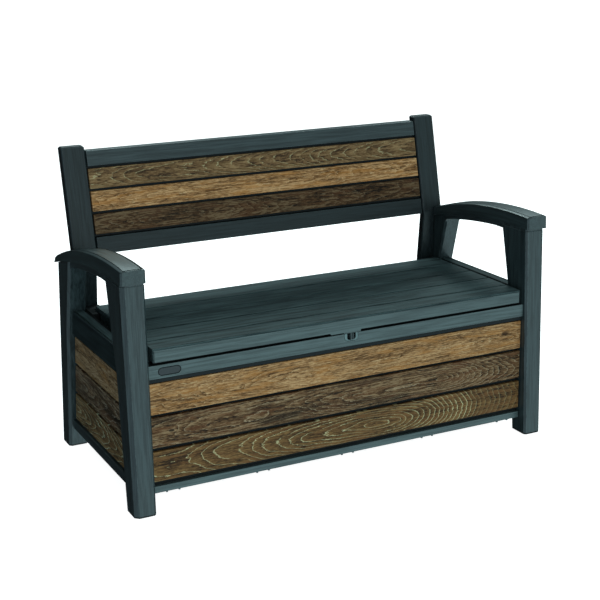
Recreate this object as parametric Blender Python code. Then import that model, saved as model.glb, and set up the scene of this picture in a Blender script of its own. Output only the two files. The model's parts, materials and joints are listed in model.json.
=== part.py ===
"""Storage bench: a resin chest with a hinged seat lid, arm frames and a leaning backrest.

Metres, +Z up, +X to the right of a person facing the front, front towards -Y.
The origin is on the floor, at the middle of the outer box.
"""
import math

import bmesh
import bpy

# ---------------------------------------------------------------- driving dimensions
GAP = 0.0003                    # clearance between touching solids

FOOT_FRONT_Y = -0.326
FOOT_REAR_Y = 0.326
LEG_KINK_Z = 0.385              # height where the legs start to flare towards the arms
FRONT_LEG_TOP_Z = 0.6408
LEG_NECK_Z = 0.6345             # a slightly slimmer neck starts here, below the arm cap
LEG_NECK_INSET = 0.0015
LEG_WALL = 0.005                # rim round the recessed foot
FOOT_RECESS = 0.006
CHAMFER_OUTER = 0.011
CHAMFER_INNER = 0.006
CHAMFER_REAR = 0.004
REAR_LEG_CHAMFER = 0.0075

CAP_X = (0.595, 0.6635)         # inner and outer side of an arm cap
CAP_FLARE = 0.0015              # the outer side leans out by this much at its lower edge
CAP_FRONT_Y = -0.3146
CAP_REAR_Y = 0.280
CAP_TOP_ARC = (-0.215, 0.682, 1.52)      # apex y, apex z, radius
CAP_UNDER_ARC = (-0.240, 0.6425, 2.00)
CAP_EDGE = 0.005
CAP_REAR_TURN = 0.022           # length of the rounded rear end
CAP_SAG_START = 0.060           # from here on the top falls a little faster than its arc
CAP_SKIN = 0.0055
CAP_NOTCH_Y = 0.2010            # front end of the cut that clears the back stile
CAP_HOLLOW_REAR_Y = 0.190
ARM_BEAM_X = (0.600, 0.660)
ARM_BEAM_DROP = 0.017           # how far the beam shows below the cap

SIDE_X = (0.605, 0.648)         # inner and outer face of the side rails
SIDE_RAIL_TOP_Z = 0.446
SIDE_RAIL_LOW_Z = 0.3735
SIDE_FOOT_RAIL_Z = (0.0615, 0.090)
RAIL_WALL = 0.005
SIDE_BOARD_X = (0.630, 0.6424)
SIDE_BOARD_Z0 = 0.095
SIDE_BOARD_HEIGHT = 0.084
SIDE_BOARD_PITCH = 0.093
SIDE_LINER_X = (0.6217, 0.6297)
LID_REST_Z = (0.398, 0.4195)
LID_REST_INNER_X = 0.565

BOX_HALF_X = 0.597              # half length between the front legs
LID_Y = (-0.3044, 0.1676)
LID_HALF_X = 0.5828
LID_TOP_Z = 0.4577
LID_SKIRT_Z = 0.4203
LID_DECK_Z = 0.4457             # underside of the deck
LID_SKIN = 0.005
LID_REAR_EDGE_Z = 0.443
LID_REAR_WALL_Y = (0.120, 0.125)
SLAT_GROOVES_Y = (-0.2297, -0.134, -0.035, 0.064)
GROOVE_WIDTH = 0.004
GROOVE_DEPTH = 0.003

HINGE_Y = 0.150
HINGE_Z = 0.432
HINGE_X = 0.420
PIN_RADIUS = 0.003
PIN_BORE_RADIUS = 0.0033

FASCIA_Y = (-0.3014, -0.2878)   # front skin of the top rail, in three lengths
FRONT_RAIL_Y = (-0.2875, -0.264)
FRONT_RAIL_Z = (0.3625, 0.4115)
FRONT_RAIL_SHADOW_Z = 0.3744    # where the rail's face turns back towards the boards
FRONT_LIP_Y = -0.285
FRONT_LIP_Z = 0.426
FRONT_LIP_HALF_X = 0.5765
FRONT_BOARD_Y = (-0.2925, -0.280)
FRONT_BOARDS_Z = ((0.0807, 0.1657), (0.1770, 0.2626), (0.2718, 0.3581))
FRONT_FOOT_RAIL_Y = (-0.2935, -0.280)
FRONT_FOOT_RAIL_Z = (0.0485, 0.0673)
FRONT_LINER_Y = (-0.2797, -0.2717)
TAB_PAIR_PITCH = 0.269
TAB_SPREAD = 0.018
TAB_SIZE = (0.012, 0.003)

POCKET_X = (-0.013, 0.032)      # padlock pocket in its housing
POCKET_FLOOR_Z = 0.389
POCKET_CORNER = 0.012
HOUSING_X = (-0.057, 0.038)
LID_LIP_X = (-0.057, 0.038)
LID_LIP_Z = 0.4135
EYE_Y = -0.2965
EYE_Z = 0.401
EYE_RADIUS = 0.004
FIN_THICKNESS = 0.004
LID_FIN_X = 0.0055
BOX_FIN_X = 0.0115

BADGE_CENTRE = (-0.537, 0.3925)
BADGE_SIZE = (0.066, 0.0235)
BADGE_RECESS = 0.002

FLOOR_Z = (0.056, 0.062)
REAR_PANEL_Z = (0.062, 0.430)
REAR_PANEL_Y_AT_TOP = 0.216
REAR_PANEL_SLOPE = 0.158
REAR_PANEL_THICKNESS = 0.010
REAR_RAIL_Y = (0.184, 0.212)
REAR_RAIL_Z = (0.352, 0.430)
REAR_RAIL_HALF_X = 0.555

BACK_FOOT_Y = 0.2021            # front plane of the backrest at BACK_FOOT_Z
BACK_FOOT_Z = 0.6003
BACK_LEAN = math.tan(math.radians(12.05))
BACK_THICKNESS = 0.0345
BACK_TOP_Z = 0.910
STILE_X = (0.557, 0.627)
STILE_FOOT_X = (0.5585, 0.6005)
STILE_STEP_Z = 0.612
STILE_END_Z = 0.390
STILE_FOOT_SLOPE = -0.117       # the foot runs back a little as it goes down
STILE_FOOT_THICKNESS = 0.026
STILE_FOOT_INSET = 0.001
BACK_HALF_X = 0.5565
BACK_FACE_HALF_X = 0.5528       # the visible faces stop short of the stiles
BACK_GAP_DEPTH = 0.012
BACK_RAIL_INSET = 0.001
BACK_TOP_RAIL_Z = (0.8515, 0.8945)
BACK_LOW_RAIL_Z = (0.6003, 0.6485)
BACK_BOARD_HEIGHT = 0.0567
BACK_BOARD_GAP = 0.0082
BACK_BOARD_INSET = 0.003
BACK_BOARD_THICKNESS = 0.012

BOLT_HEIGHTS = (0.475, 0.545)
BOLT_RADIUS = 0.004
BOLT_BORE_RADIUS = 0.0044
BOLT_HEAD_RADIUS = 0.0080
BOLT_HEAD_HEIGHT = 0.005
BOLT_END_X = 0.620

ROUND_SEGMENTS = 16

SIDES = (("left", -1), ("right", 1))


# ---------------------------------------------------------------- materials
def make_material(name, colour, roughness, metallic=0.0):
    material = bpy.data.materials.new(name)
    material.use_nodes = True
    shader = material.node_tree.nodes["Principled BSDF"]
    shader.inputs["Base Color"].default_value = (*colour, 1.0)
    shader.inputs["Roughness"].default_value = roughness
    shader.inputs["Metallic"].default_value = metallic
    return material


# ---------------------------------------------------------------- mesh helpers
def finish_object(name, mesh_data, material, smooth=False):
    """Turn a closed bmesh into a named object whose faces point outwards."""
    bmesh.ops.recalc_face_normals(mesh_data, faces=mesh_data.faces)
    mesh = bpy.data.meshes.new(name)
    mesh_data.to_mesh(mesh)
    mesh_data.free()
    if smooth:
        mesh.shade_smooth()
        mesh.set_sharp_from_angle(angle=math.radians(40))
    obj = bpy.data.objects.new(name, mesh)
    bpy.context.scene.collection.objects.link(obj)
    if material is not None:
        mesh.materials.append(material)
    return obj


def loft(name, rings, material, smooth=False):
    """Close a stack of equal rings of points into one solid."""
    mesh_data = bmesh.new()
    rows = [[mesh_data.verts.new(point) for point in ring] for ring in rings]
    count = len(rings[0])
    for lower, upper in zip(rows, rows[1:]):
        for i in range(count):
            j = (i + 1) % count
            mesh_data.faces.new((lower[i], lower[j], upper[j], upper[i]))
    mesh_data.faces.new(rows[0])
    mesh_data.faces.new(rows[-1])
    return finish_object(name, mesh_data, material, smooth)


def prism_x(name, outline, x_range, material, smooth=False):
    """Extrude an outline of (y, z) points along X."""
    rings = [[(x, y, z) for y, z in outline] for x in x_range]
    return loft(name, rings, material, smooth)


def prism_y(name, outline, y_range, material, smooth=False):
    """Extrude an outline of (x, z) points along Y."""
    rings = [[(x, y, z) for x, z in outline] for y in y_range]
    return loft(name, rings, material, smooth)


def block(name, x_range, y_range, z_range, material):
    (y0, y1), (z0, z1) = y_range, z_range
    return prism_x(name, [(y0, z0), (y1, z0), (y1, z1), (y0, z1)], x_range, material)


def prism_z(name, outline, z_range, material):
    """Extrude an outline of (x, y) points upwards."""
    return loft(name, [[(x, y, z) for x, y in outline] for z in z_range], material)


def mirrored(values, side):
    """Put a pair of X values on the left (-1) or the right (+1) side."""
    return tuple(sorted(side * value for value in values))


def disc(centre, radius, segments=ROUND_SEGMENTS):
    """Points of a circle, for an outline."""
    steps = [2 * math.pi * i / segments for i in range(segments)]
    return [(centre[0] + radius * math.cos(a), centre[1] + radius * math.sin(a)) for a in steps]


def arc(centre, radius, start_deg, end_deg, segments):
    """Points of an arc, both ends included."""
    angles = [math.radians(start_deg + (end_deg - start_deg) * i / segments) for i in range(segments + 1)]
    return [(centre[0] + radius * math.cos(a), centre[1] + radius * math.sin(a)) for a in angles]


def cut(obj, *cutters):
    """Subtract cutters, which stay out of the model."""
    for cutter in cutters:
        cutter.hide_render = True
        cutter.display_type = "WIRE"
        modifier = obj.modifiers.new("cut_" + cutter.name, "BOOLEAN")
        modifier.operation = "DIFFERENCE"
        modifier.solver = "EXACT"
        modifier.object = cutter


def interpolate(points, z):
    """Piecewise straight line through (z, value) points."""
    for (z0, v0), (z1, v1) in zip(points, points[1:]):
        if z <= z1:
            return v0 + (v1 - v0) * (z - z0) / (z1 - z0)
    (z0, v0), (z1, v1) = points[-2:]
    return v0 + (v1 - v0) * (z - z0) / (z1 - z0)


# ---------------------------------------------------------------- shared shapes
FRONT_LEG = {
    "outer": [(0.0, 0.6605), (FRONT_LEG_TOP_Z, 0.6625)],
    "inner": [(0.0, 0.6000), (FRONT_LEG_TOP_Z, 0.5962)],
    "front": [(0.0, FOOT_FRONT_Y), (FRONT_LEG_TOP_Z, -0.3073)],
    "rear": [(0.0, -0.2570), (LEG_KINK_Z, -0.2305), (FRONT_LEG_TOP_Z, -0.1790)],
}
REAR_LEG = {
    "outer": [(0.0, 0.6605), (0.600, 0.6640)],
    "inner": [(0.0, 0.6020), (0.600, 0.6070)],
    "front": [(0.0, 0.2590), (LEG_KINK_Z, 0.1985), (0.600, 0.1400)],
    "rear": [(0.0, FOOT_REAR_Y), (0.600, 0.2440)],
}


def arc_height(parameters, y):
    """Height of an arch of (apex y, apex z, radius) above the floor at y."""
    apex_y, apex_z, radius = parameters
    return apex_z - (radius - math.sqrt(radius ** 2 - (y - apex_y) ** 2))


def back_plane_y(z):
    """Front plane of the leaning backrest."""
    return BACK_FOOT_Y + (z - BACK_FOOT_Z) * BACK_LEAN


def stile_foot_y(z):
    """Front face of a back stile below the backrest."""
    return BACK_FOOT_Y + (z - BACK_FOOT_Z) * STILE_FOOT_SLOPE


def leg_ring(x_in, x_out, y_front, y_rear, chamfers, side, height):
    """Eight-sided leg section. chamfers: outer front, inner front, rear. height gives z from y."""
    outer, inner, rear = chamfers
    corners = [
        (x_in + inner, y_front), (x_out - outer, y_front),
        (x_out, y_front + outer), (x_out, y_rear - rear),
        (x_out - rear, y_rear), (x_in + rear, y_rear),
        (x_in, y_rear - rear), (x_in, y_front + inner),
    ]
    return [(side * x, y, height(y)) for x, y in corners]


def leg_section(leg, z, inset, chamfers, side, height=None):
    x_in = interpolate(leg["inner"], z) + inset
    x_out = interpolate(leg["outer"], z) - inset
    y_front = interpolate(leg["front"], z) + inset
    y_rear = interpolate(leg["rear"], z) - inset
    return leg_ring(x_in, x_out, y_front, y_rear, chamfers, side, height or (lambda y: z))


# ---------------------------------------------------------------- legs and arms
def make_front_leg(name, side, material):
    """Leg with a recessed foot and a tenon that enters the arm cap."""
    chamfers = (CHAMFER_OUTER, CHAMFER_INNER, CHAMFER_REAR)
    tenon_inset = 0.0080
    tenon_top_z = 0.666
    levels = (0.0, LEG_KINK_Z, LEG_NECK_Z)
    rings = [leg_section(FRONT_LEG, z, LEG_WALL, chamfers, side) for z in (FOOT_RECESS, 0.0)]
    rings += [leg_section(FRONT_LEG, z, 0.0, chamfers, side) for z in levels]
    top = FRONT_LEG_TOP_Z
    rings += [leg_section(FRONT_LEG, z, LEG_NECK_INSET, chamfers, side) for z in (LEG_NECK_Z, top)]
    rings.append(leg_section(FRONT_LEG, top, tenon_inset, chamfers, side))
    rings.append(leg_section(FRONT_LEG, top, tenon_inset, chamfers, side, lambda y: tenon_top_z))
    return loft(name, rings, material)


def make_rear_leg(name, side, material):
    """Leg with a recessed foot, cut to the slope of the arm cap, with a tenon that enters it."""
    chamfers = (REAR_LEG_CHAMFER, CHAMFER_INNER, CHAMFER_REAR)
    y_low, y_high = 0.2450, 0.1370
    z_low = arc_height(CAP_UNDER_ARC, y_low) - 2 * GAP
    z_high = arc_height(CAP_UNDER_ARC, y_high) - 2 * GAP
    slope = (z_high - z_low) / (y_high - y_low)

    def top_height(y):
        return z_low + (y - y_low) * slope

    tenon_height = 0.018
    tenon_y = (0.147, 0.186)
    tenon_x = (0.6160, 0.6560)
    rings = [leg_section(REAR_LEG, z, LEG_WALL, chamfers, side) for z in (FOOT_RECESS, 0.0)]
    rings += [leg_section(REAR_LEG, z, 0.0, chamfers, side) for z in (0.0, LEG_KINK_Z)]
    rings.append(leg_ring(0.6070, 0.6640, y_high, y_low, chamfers, side, top_height))
    small = (CHAMFER_REAR,) * 3
    rings.append(leg_ring(*tenon_x, *tenon_y, small, side, top_height))
    rings.append(leg_ring(*tenon_x, *tenon_y, small, side, lambda y: top_height(y) + tenon_height))
    return loft(name, rings, material)


def cap_stations():
    """Places along the arm cap, closer together at its rounded rear end."""
    straight = [CAP_FRONT_Y, CAP_FRONT_Y + 0.003]
    straight += [CAP_FRONT_Y + 0.003 + 0.0505 * i for i in range(1, 11)]
    straight.append(0.230)
    rear_turn = [CAP_REAR_Y - CAP_REAR_TURN * (1 - math.sin(math.radians(a))) for a in (0, 22, 45, 65, 80, 90)]
    return straight + rear_turn


def cap_top_z(y):
    """Top of the cap, with a small front edge and a round rear end."""
    z = arc_height(CAP_TOP_ARC, y)
    if y < CAP_FRONT_Y + 0.001:
        return z - 0.003
    if y > CAP_SAG_START:
        z -= 0.005 * ((y - CAP_SAG_START) / 0.2) ** 1.5
    turn_start = CAP_REAR_Y - CAP_REAR_TURN
    if y > turn_start:
        t = (y - turn_start) / CAP_REAR_TURN
        z -= 0.010 * (1 - math.sqrt(max(0.0, 1 - t ** 2)))
    return z


def cap_inner_dip(y):
    """How far the top's inner edge lies below its outer edge towards the rear."""
    t = min(1.0, max(0.0, (y + 0.03) / 0.11))
    return 0.0025 * t * t * (3 - 2 * t)


def make_arm_cap(name, side, material):
    """Arched channel over the two legs and the beam, notched round the back stile."""
    x_in, x_out = CAP_X
    rings = []
    for y in cap_stations():
        top = cap_top_z(y)
        under = arc_height(CAP_UNDER_ARC, y)
        flared_x = x_out + CAP_FLARE
        section = [
            (x_in, under), (flared_x, under),
            (x_out, top - CAP_EDGE), (x_out - CAP_EDGE, top),
            (x_in + CAP_EDGE, top - cap_inner_dip(y)), (x_in, top - CAP_EDGE),
        ]
        rings.append([(side * x, y, z) for x, z in section])
    cap = loft(name, rings, material)

    hollow_rings = []
    start = CAP_FRONT_Y + CAP_SKIN
    for i in range(9):
        y = start + (CAP_HOLLOW_REAR_Y - start) * i / 8
        ceiling = arc_height(CAP_TOP_ARC, y) - CAP_SKIN
        floor = arc_height(CAP_UNDER_ARC, y) - 0.02
        hollow_x = (x_in + CAP_SKIN, x_out - CAP_SKIN)
        section = [(hollow_x[0], floor), (hollow_x[1], floor), (hollow_x[1], ceiling), (hollow_x[0], ceiling)]
        hollow_rings.append([(side * x, y, z) for x, z in section])
    hollow = loft(name + "_hollow", hollow_rings, None)
    notch = block(name + "_notch", mirrored((0.580, 0.6285), side), (CAP_NOTCH_Y, 0.320), (0.50, 0.70), None)
    cut(cap, hollow, notch)
    return cap


def make_arm_beam(name, side, material):
    """Curved beam between the legs, under the cap."""
    front_end = [(interpolate(FRONT_LEG["rear"], z) + 2 * GAP, z) for z in (0.6225, 0.6402)]
    y_rear_low, y_rear_high = 0.1425, 0.1395
    under = []
    over = []
    steps = 8
    y_start = front_end[0][0] + 0.002
    for i in range(1, steps):
        y = y_start + (y_rear_low - y_start) * i / steps
        under.append((y, arc_height(CAP_UNDER_ARC, y) - ARM_BEAM_DROP))
        over.append((y, arc_height(CAP_UNDER_ARC, y) - 3 * GAP))
    rear_end = [(y_rear_low - 0.0035, arc_height(CAP_UNDER_ARC, y_rear_low) - ARM_BEAM_DROP),
                (y_rear_high - 0.0055, arc_height(CAP_UNDER_ARC, y_rear_high) - 3 * GAP)]
    outline = front_end[:1] + under + rear_end + over[::-1] + front_end[1:]
    return prism_x(name, outline, mirrored(ARM_BEAM_X, side), material)


# ---------------------------------------------------------------- sides of the chest
def between_legs(z_range, front_gap=2 * GAP, rear_gap=2 * GAP):
    """Outline (y, z) of a piece that fills the space between the two legs."""
    z0, z1 = z_range
    levels = [z0] + [z for z in (LEG_KINK_Z,) if z0 < z < z1] + [z1]
    front = [(interpolate(FRONT_LEG["rear"], z) + front_gap, z) for z in levels]
    rear = [(interpolate(REAR_LEG["front"], z) - rear_gap, z) for z in levels]
    return front + rear[::-1]


def make_side(label, side, resin, woods):
    rail_z = (SIDE_RAIL_LOW_Z, SIDE_RAIL_TOP_Z)
    rail = prism_x(label + "_side_top_rail", between_legs(rail_z), mirrored(SIDE_X, side), resin)
    groove = block(label + "_rail_groove", mirrored((0.6375, 0.6400), side), (-0.30, 0.30), (0.444, 0.450), None)
    hollow_x = mirrored((SIDE_X[0] + RAIL_WALL, SIDE_X[1] - RAIL_WALL), side)
    hollow_y = (interpolate(FRONT_LEG["rear"], SIDE_RAIL_TOP_Z) + RAIL_WALL, 0.165)
    hollow_z = (SIDE_RAIL_LOW_Z - 0.01, SIDE_RAIL_TOP_Z - 1.6 * RAIL_WALL)
    hollow = block(label + "_rail_hollow", hollow_x, hollow_y, hollow_z, None)
    cut(rail, groove, hollow)
    foot_x = (SIDE_LINER_X[1] + GAP, SIDE_X[1])
    prism_x(label + "_side_bottom_rail", between_legs(SIDE_FOOT_RAIL_Z), mirrored(foot_x, side), resin)
    liner_z = (FLOOR_Z[1] + GAP, SIDE_RAIL_LOW_Z - GAP)
    prism_x(label + "_side_liner", between_legs(liner_z), mirrored(SIDE_LINER_X, side), resin)
    for i, level in enumerate(("bottom", "middle", "top")):
        z0 = SIDE_BOARD_Z0 + i * SIDE_BOARD_PITCH
        outline = between_legs((z0, z0 + SIDE_BOARD_HEIGHT), 0.003, 0.008)
        name = label + "_side_board_" + level
        prism_x(name, outline, mirrored(SIDE_BOARD_X, side), woods[level])
    make_lid_rest(label + "_lid_rest", side, resin)


def make_lid_rest(name, side, material):
    """Ledge on the inside of a side wall that carries the lid's end, stepped round the front leg."""
    y_start, y_end = FRONT_RAIL_Y[1] + GAP, 0.130
    leg_y = interpolate(FRONT_LEG["rear"], LID_REST_Z[1]) + 2 * GAP
    inner_x, leg_x, wall_x = LID_REST_INNER_X, BOX_HALF_X - GAP, SIDE_X[0] - GAP
    outline = [(inner_x, y_start), (leg_x, y_start), (leg_x, leg_y),
               (wall_x, leg_y), (wall_x, y_end), (inner_x, y_end)]
    return prism_z(name, [(side * x, y) for x, y in outline], LID_REST_Z, material)


# ---------------------------------------------------------------- front of the chest
def stadium(centre, size, segments=8):
    """Outline (x, z) of a slot with round ends."""
    radius = size[1] / 2
    reach = size[0] / 2 - radius
    right = arc((centre[0] + reach, centre[1]), radius, -90, 90, segments)
    left = arc((centre[0] - reach, centre[1]), radius, 90, 270, segments)
    return right + left


def make_front(resin, woods, badge_material):
    make_front_top_rail(resin)
    make_fascia(resin)
    y_face = FASCIA_Y[0]
    plate_size = (BADGE_SIZE[0] - 0.002, BADGE_SIZE[1] - 0.002)
    plate_y = (y_face + 0.0004, y_face + BADGE_RECESS - GAP)
    prism_y("badge_plate", stadium(BADGE_CENTRE, plate_size), plate_y, badge_material)

    half = (-BOX_HALF_X, BOX_HALF_X)
    for level, z_range in zip(("bottom", "middle", "top"), FRONT_BOARDS_Z):
        block("front_board_" + level, half, FRONT_BOARD_Y, z_range, woods[level])
    block("front_liner", half, FRONT_LINER_Y, (FLOOR_Z[0], FRONT_RAIL_Z[0] - GAP), resin)
    make_front_bottom_rail(resin)


def make_front_top_rail(material):
    """Beam behind the fascia, with a raised lip that stands inside the lid."""
    (y_front, y_back), (z_low, z_top) = FRONT_RAIL_Y, FRONT_RAIL_Z
    outline = [
        (y_front, z_low), (y_front, z_top), (FRONT_LIP_Y, z_top), (FRONT_LIP_Y, FRONT_LIP_Z),
        (y_back, FRONT_LIP_Z), (y_back, z_low),
    ]
    rail = prism_x("front_top_rail", outline, (-BOX_HALF_X, BOX_HALF_X), material)
    lip_z = (z_top, FRONT_LIP_Z + 0.01)
    lip_y = (FRONT_LIP_Y - 0.01, y_back + 0.01)
    ends = [block(label + "_lip_end", mirrored((FRONT_LIP_HALF_X, 0.62), side), lip_y, lip_z, None)
            for label, side in SIDES]
    cut(rail, *ends)


def make_fascia(material):
    """Front skin of the top rail: a left and a right length with the padlock housing between."""
    (y_face, y_back), (z_low, z_top) = FASCIA_Y, FRONT_RAIL_Z
    outline = [
        (y_face, FRONT_RAIL_SHADOW_Z), (y_face, z_top), (y_back, z_top), (y_back, z_low),
        (FRONT_BOARD_Y[0] - 0.0005, z_low),
    ]
    left = prism_x("front_fascia_left", outline, (-BOX_HALF_X, HOUSING_X[0] - GAP), material)
    prism_x("front_fascia_right", outline, (HOUSING_X[1] + GAP, BOX_HALF_X), material)
    housing = prism_x("padlock_housing", outline, HOUSING_X, material)
    recess_outline = stadium(BADGE_CENTRE, BADGE_SIZE)
    recess = prism_y("badge_recess", recess_outline, (y_face - 0.01, y_face + BADGE_RECESS), None)
    cut(left, recess)

    corner = POCKET_CORNER
    pocket_outline = [(POCKET_X[0], z_top + 0.01)]
    pocket_outline += arc((POCKET_X[0] + corner, POCKET_FLOOR_Z + corner), corner, 180, 270, 5)
    pocket_outline += arc((POCKET_X[1] - corner, POCKET_FLOOR_Z + corner), corner, 270, 360, 5)
    pocket_outline.append((POCKET_X[1], z_top + 0.01))
    pocket = prism_y("padlock_pocket", pocket_outline, (y_face - 0.01, y_back + 0.01), None)
    cut(housing, pocket)


def make_front_bottom_rail(material):
    """Bottom rail with pairs of small snap tabs along its lower edge."""
    edges = [-BOX_HALF_X]
    for i in range(-2, 3):
        for offset in (-TAB_SPREAD, TAB_SPREAD):
            centre = i * TAB_PAIR_PITCH + offset
            edges += [centre - TAB_SIZE[0] / 2, centre + TAB_SIZE[0] / 2]
    edges.append(BOX_HALF_X)
    z_low, z_high = FRONT_FOOT_RAIL_Z
    outline = [(BOX_HALF_X, z_high), (-BOX_HALF_X, z_high), (-BOX_HALF_X, z_low)]
    for start, end in zip(edges[1:-1:2], edges[2:-1:2]):
        drop = z_low - TAB_SIZE[1]
        outline += [(start, z_low), (start, drop), (end, drop), (end, z_low)]
    outline.append((BOX_HALF_X, z_low))
    return prism_y("front_bottom_rail", outline, FRONT_FOOT_RAIL_Y, material)


def make_padlock_eyes(material):
    """One fin on the chest and one on the lid, with holes in line for a padlock."""
    eye = prism_x("padlock_eye_bore", disc((EYE_Y, EYE_Z), EYE_RADIUS), (-0.01, 0.03), None)
    box_fin = block("box_hasp", (BOX_FIN_X, BOX_FIN_X + FIN_THICKNESS),
                    (-0.3035, FRONT_RAIL_Y[0] - GAP), (0.3925, 0.4110), material)
    lid_fin = block("lid_hasp", (LID_FIN_X, LID_FIN_X + FIN_THICKNESS),
                    (-0.3040, -0.2892), (0.3925, LID_LIP_Z - GAP), material)
    cut(box_fin, eye)
    cut(lid_fin, eye)


# ---------------------------------------------------------------- rear and floor
def rear_panel_y(z):
    return REAR_PANEL_Y_AT_TOP + (REAR_PANEL_Z[1] - z) * REAR_PANEL_SLOPE


def make_rear(material):
    z_low, z_top = REAR_PANEL_Z[0] + GAP, REAR_PANEL_Z[1]
    shoulder_z = STILE_END_Z - 0.005
    wide, narrow = 0.6010, REAR_RAIL_HALF_X
    outline = [(wide, z_low), (wide, shoulder_z), (narrow, shoulder_z), (narrow, z_top)]
    outline += [(-x, z) for x, z in outline[::-1]]
    rings = []
    for offset in (0.0, REAR_PANEL_THICKNESS):
        rings.append([(x, rear_panel_y(z) + offset, z) for x, z in outline])
    loft("rear_panel", rings, material)
    half = (-REAR_RAIL_HALF_X, REAR_RAIL_HALF_X)
    block("rear_top_rail", half, REAR_RAIL_Y, REAR_RAIL_Z, material)


def make_floor(material):
    """Floor panel, shaped to stay inside the four legs."""
    y_front = FRONT_LINER_Y[1] + GAP
    y_rear = 0.2915
    leg_front = interpolate(FRONT_LEG["rear"], FLOOR_Z[0]) + 0.002
    leg_rear = interpolate(REAR_LEG["front"], FLOOR_Z[1]) - 0.002
    wide, narrow = SIDE_LINER_X[1], 0.5990
    half_outline = [(narrow, y_front), (narrow, leg_front), (wide, leg_front),
                    (wide, leg_rear), (narrow, leg_rear), (narrow, y_rear)]
    outline = half_outline + [(-x, y) for x, y in half_outline[::-1]]
    prism_z("floor_panel", outline, FLOOR_Z, material)


# ---------------------------------------------------------------- lid and hinges
def make_lid(name, parent, material):
    """Seat lid: a deck of five slats with a skirt all round, open below."""
    y_front, y_rear = LID_Y
    edge = 0.004
    top = LID_TOP_Z
    outline = [(y_front, LID_SKIRT_Z), (y_front, top - edge), (y_front + edge, top)]
    for y in SLAT_GROOVES_Y:
        a, b = y - GROOVE_WIDTH / 2, y + GROOVE_WIDTH / 2
        outline += [(a, top), (a, top - GROOVE_DEPTH), (b, top - GROOVE_DEPTH), (b, top)]
    wall_y = LID_REAR_WALL_Y[1]
    outline += [(y_rear - edge, top), (y_rear, top - edge), (y_rear, LID_REAR_EDGE_Z)]
    outline += [(wall_y, LID_REAR_EDGE_Z), (wall_y, LID_SKIRT_Z)]
    half = (-LID_HALF_X, LID_HALF_X)
    lid = prism_x(name, outline, half, material)

    inner_x = LID_HALF_X - LID_SKIN
    inner_y = (y_front + LID_SKIN, LID_REAR_WALL_Y[0])
    well = block("lid_well", (-inner_x, inner_x), inner_y, (LID_SKIRT_Z - 0.01, LID_DECK_Z), None)
    cut(lid, well)

    lip_y = (y_front, y_front + LID_SKIN)
    lip = block(name + "_lip_form", LID_LIP_X, lip_y, (LID_LIP_Z, LID_SKIRT_Z + 0.004), None)
    lip.hide_render = True
    lip.display_type = "WIRE"
    join = lid.modifiers.new("front_lip", "BOOLEAN")
    join.operation = "UNION"
    join.solver = "EXACT"
    join.object = lip
    set_origin(lid, parent)
    return lid


def set_origin(obj, parent):
    """Hang a lid piece on the hinge axis: its mesh is shifted so that it stays in place."""
    offset = parent.location
    for vertex in obj.data.vertices:
        vertex.co -= offset
    obj.parent = parent


def hinge_axis_empty():
    empty = bpy.data.objects.new("lid_hinge_axis", None)
    empty.location = (0.0, HINGE_Y, HINGE_Z)
    bpy.context.scene.collection.objects.link(empty)
    return empty


def make_hinge(label, side, parent, resin, steel):
    """Bracket on the rear rail, lug under the lid, and the pin through both."""
    x = side * HINGE_X
    ear_half, slot_half, lug_half = 0.016, 0.0115, 0.0095
    axis = (HINGE_Y, HINGE_Z)
    plate_y = REAR_RAIL_Y[0] - GAP
    outline = [(plate_y, 0.360), (plate_y, 0.396), (0.158, 0.396), (0.1570, 0.4120)]
    outline += arc(axis, 0.009, -40, 220, 12)
    outline += [(0.1415, 0.400), (0.1415, 0.375), (0.150, 0.360)]
    bracket = prism_x(label + "_hinge_bracket", outline, (x - ear_half, x + ear_half), resin)
    slot = block(label + "_hinge_slot", (x - slot_half, x + slot_half), (0.10, plate_y - 0.004),
                 (0.35, 0.45), None)
    bore = prism_x(label + "_hinge_bore", disc(axis, PIN_BORE_RADIUS), (x - 0.03, x + 0.03), None)
    cut(bracket, slot, bore)

    lug_top = LID_REAR_EDGE_Z - GAP
    lug_outline = [(0.1285, lug_top), (0.1285, 0.4385)]
    lug_outline += arc(axis, 0.0085, 200, 375, 10)
    lug_outline.append((0.1600, lug_top))
    lug = prism_x(label + "_hinge_lug", lug_outline, (x - lug_half, x + lug_half), resin)
    cut(lug, bore)
    set_origin(lug, parent)

    pin_half = ear_half + 0.003
    prism_x(label + "_hinge_pin", disc(axis, PIN_RADIUS), (x - pin_half, x + pin_half), steel, smooth=True)


# ---------------------------------------------------------------- backrest
def leaning_outline(z_range, inset, thickness):
    """Outline (y, z) of a backrest piece set back by inset from the front plane."""
    z0, z1 = z_range
    y0, y1 = back_plane_y(z0) + inset, back_plane_y(z1) + inset
    return [(y0, z0), (y0 + thickness, z0), (y1 + thickness, z1), (y1, z1)]


def make_stile(name, side, material):
    """Back stile: wide above the arm, narrow where it runs down inside the rear leg."""
    edge = 0.003
    foot_x = STILE_FOOT_X
    foot_levels = (STILE_END_Z, BACK_FOOT_Z)
    rings = []
    for z in foot_levels:
        y = stile_foot_y(z) + STILE_FOOT_INSET
        rings.append(stile_ring(foot_x, (y, y + STILE_FOOT_THICKNESS), z, side, edge))
    y = back_plane_y(STILE_STEP_Z)
    foot_y = (y + STILE_FOOT_INSET, y + STILE_FOOT_INSET + STILE_FOOT_THICKNESS)
    rings.append(stile_ring(foot_x, foot_y, STILE_STEP_Z, side, edge))
    rings.append(stile_ring(STILE_X, (y, y + BACK_THICKNESS), STILE_STEP_Z, side, edge))
    for z, shrink in ((BACK_TOP_Z - 0.004, 0.0), (BACK_TOP_Z, 0.004)):
        y = back_plane_y(z)
        x_range = (STILE_X[0] + shrink, STILE_X[1] - shrink)
        rings.append(stile_ring(x_range, (y + shrink, y + BACK_THICKNESS - shrink), z, side, edge))
    return loft(name, rings, material)


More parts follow.
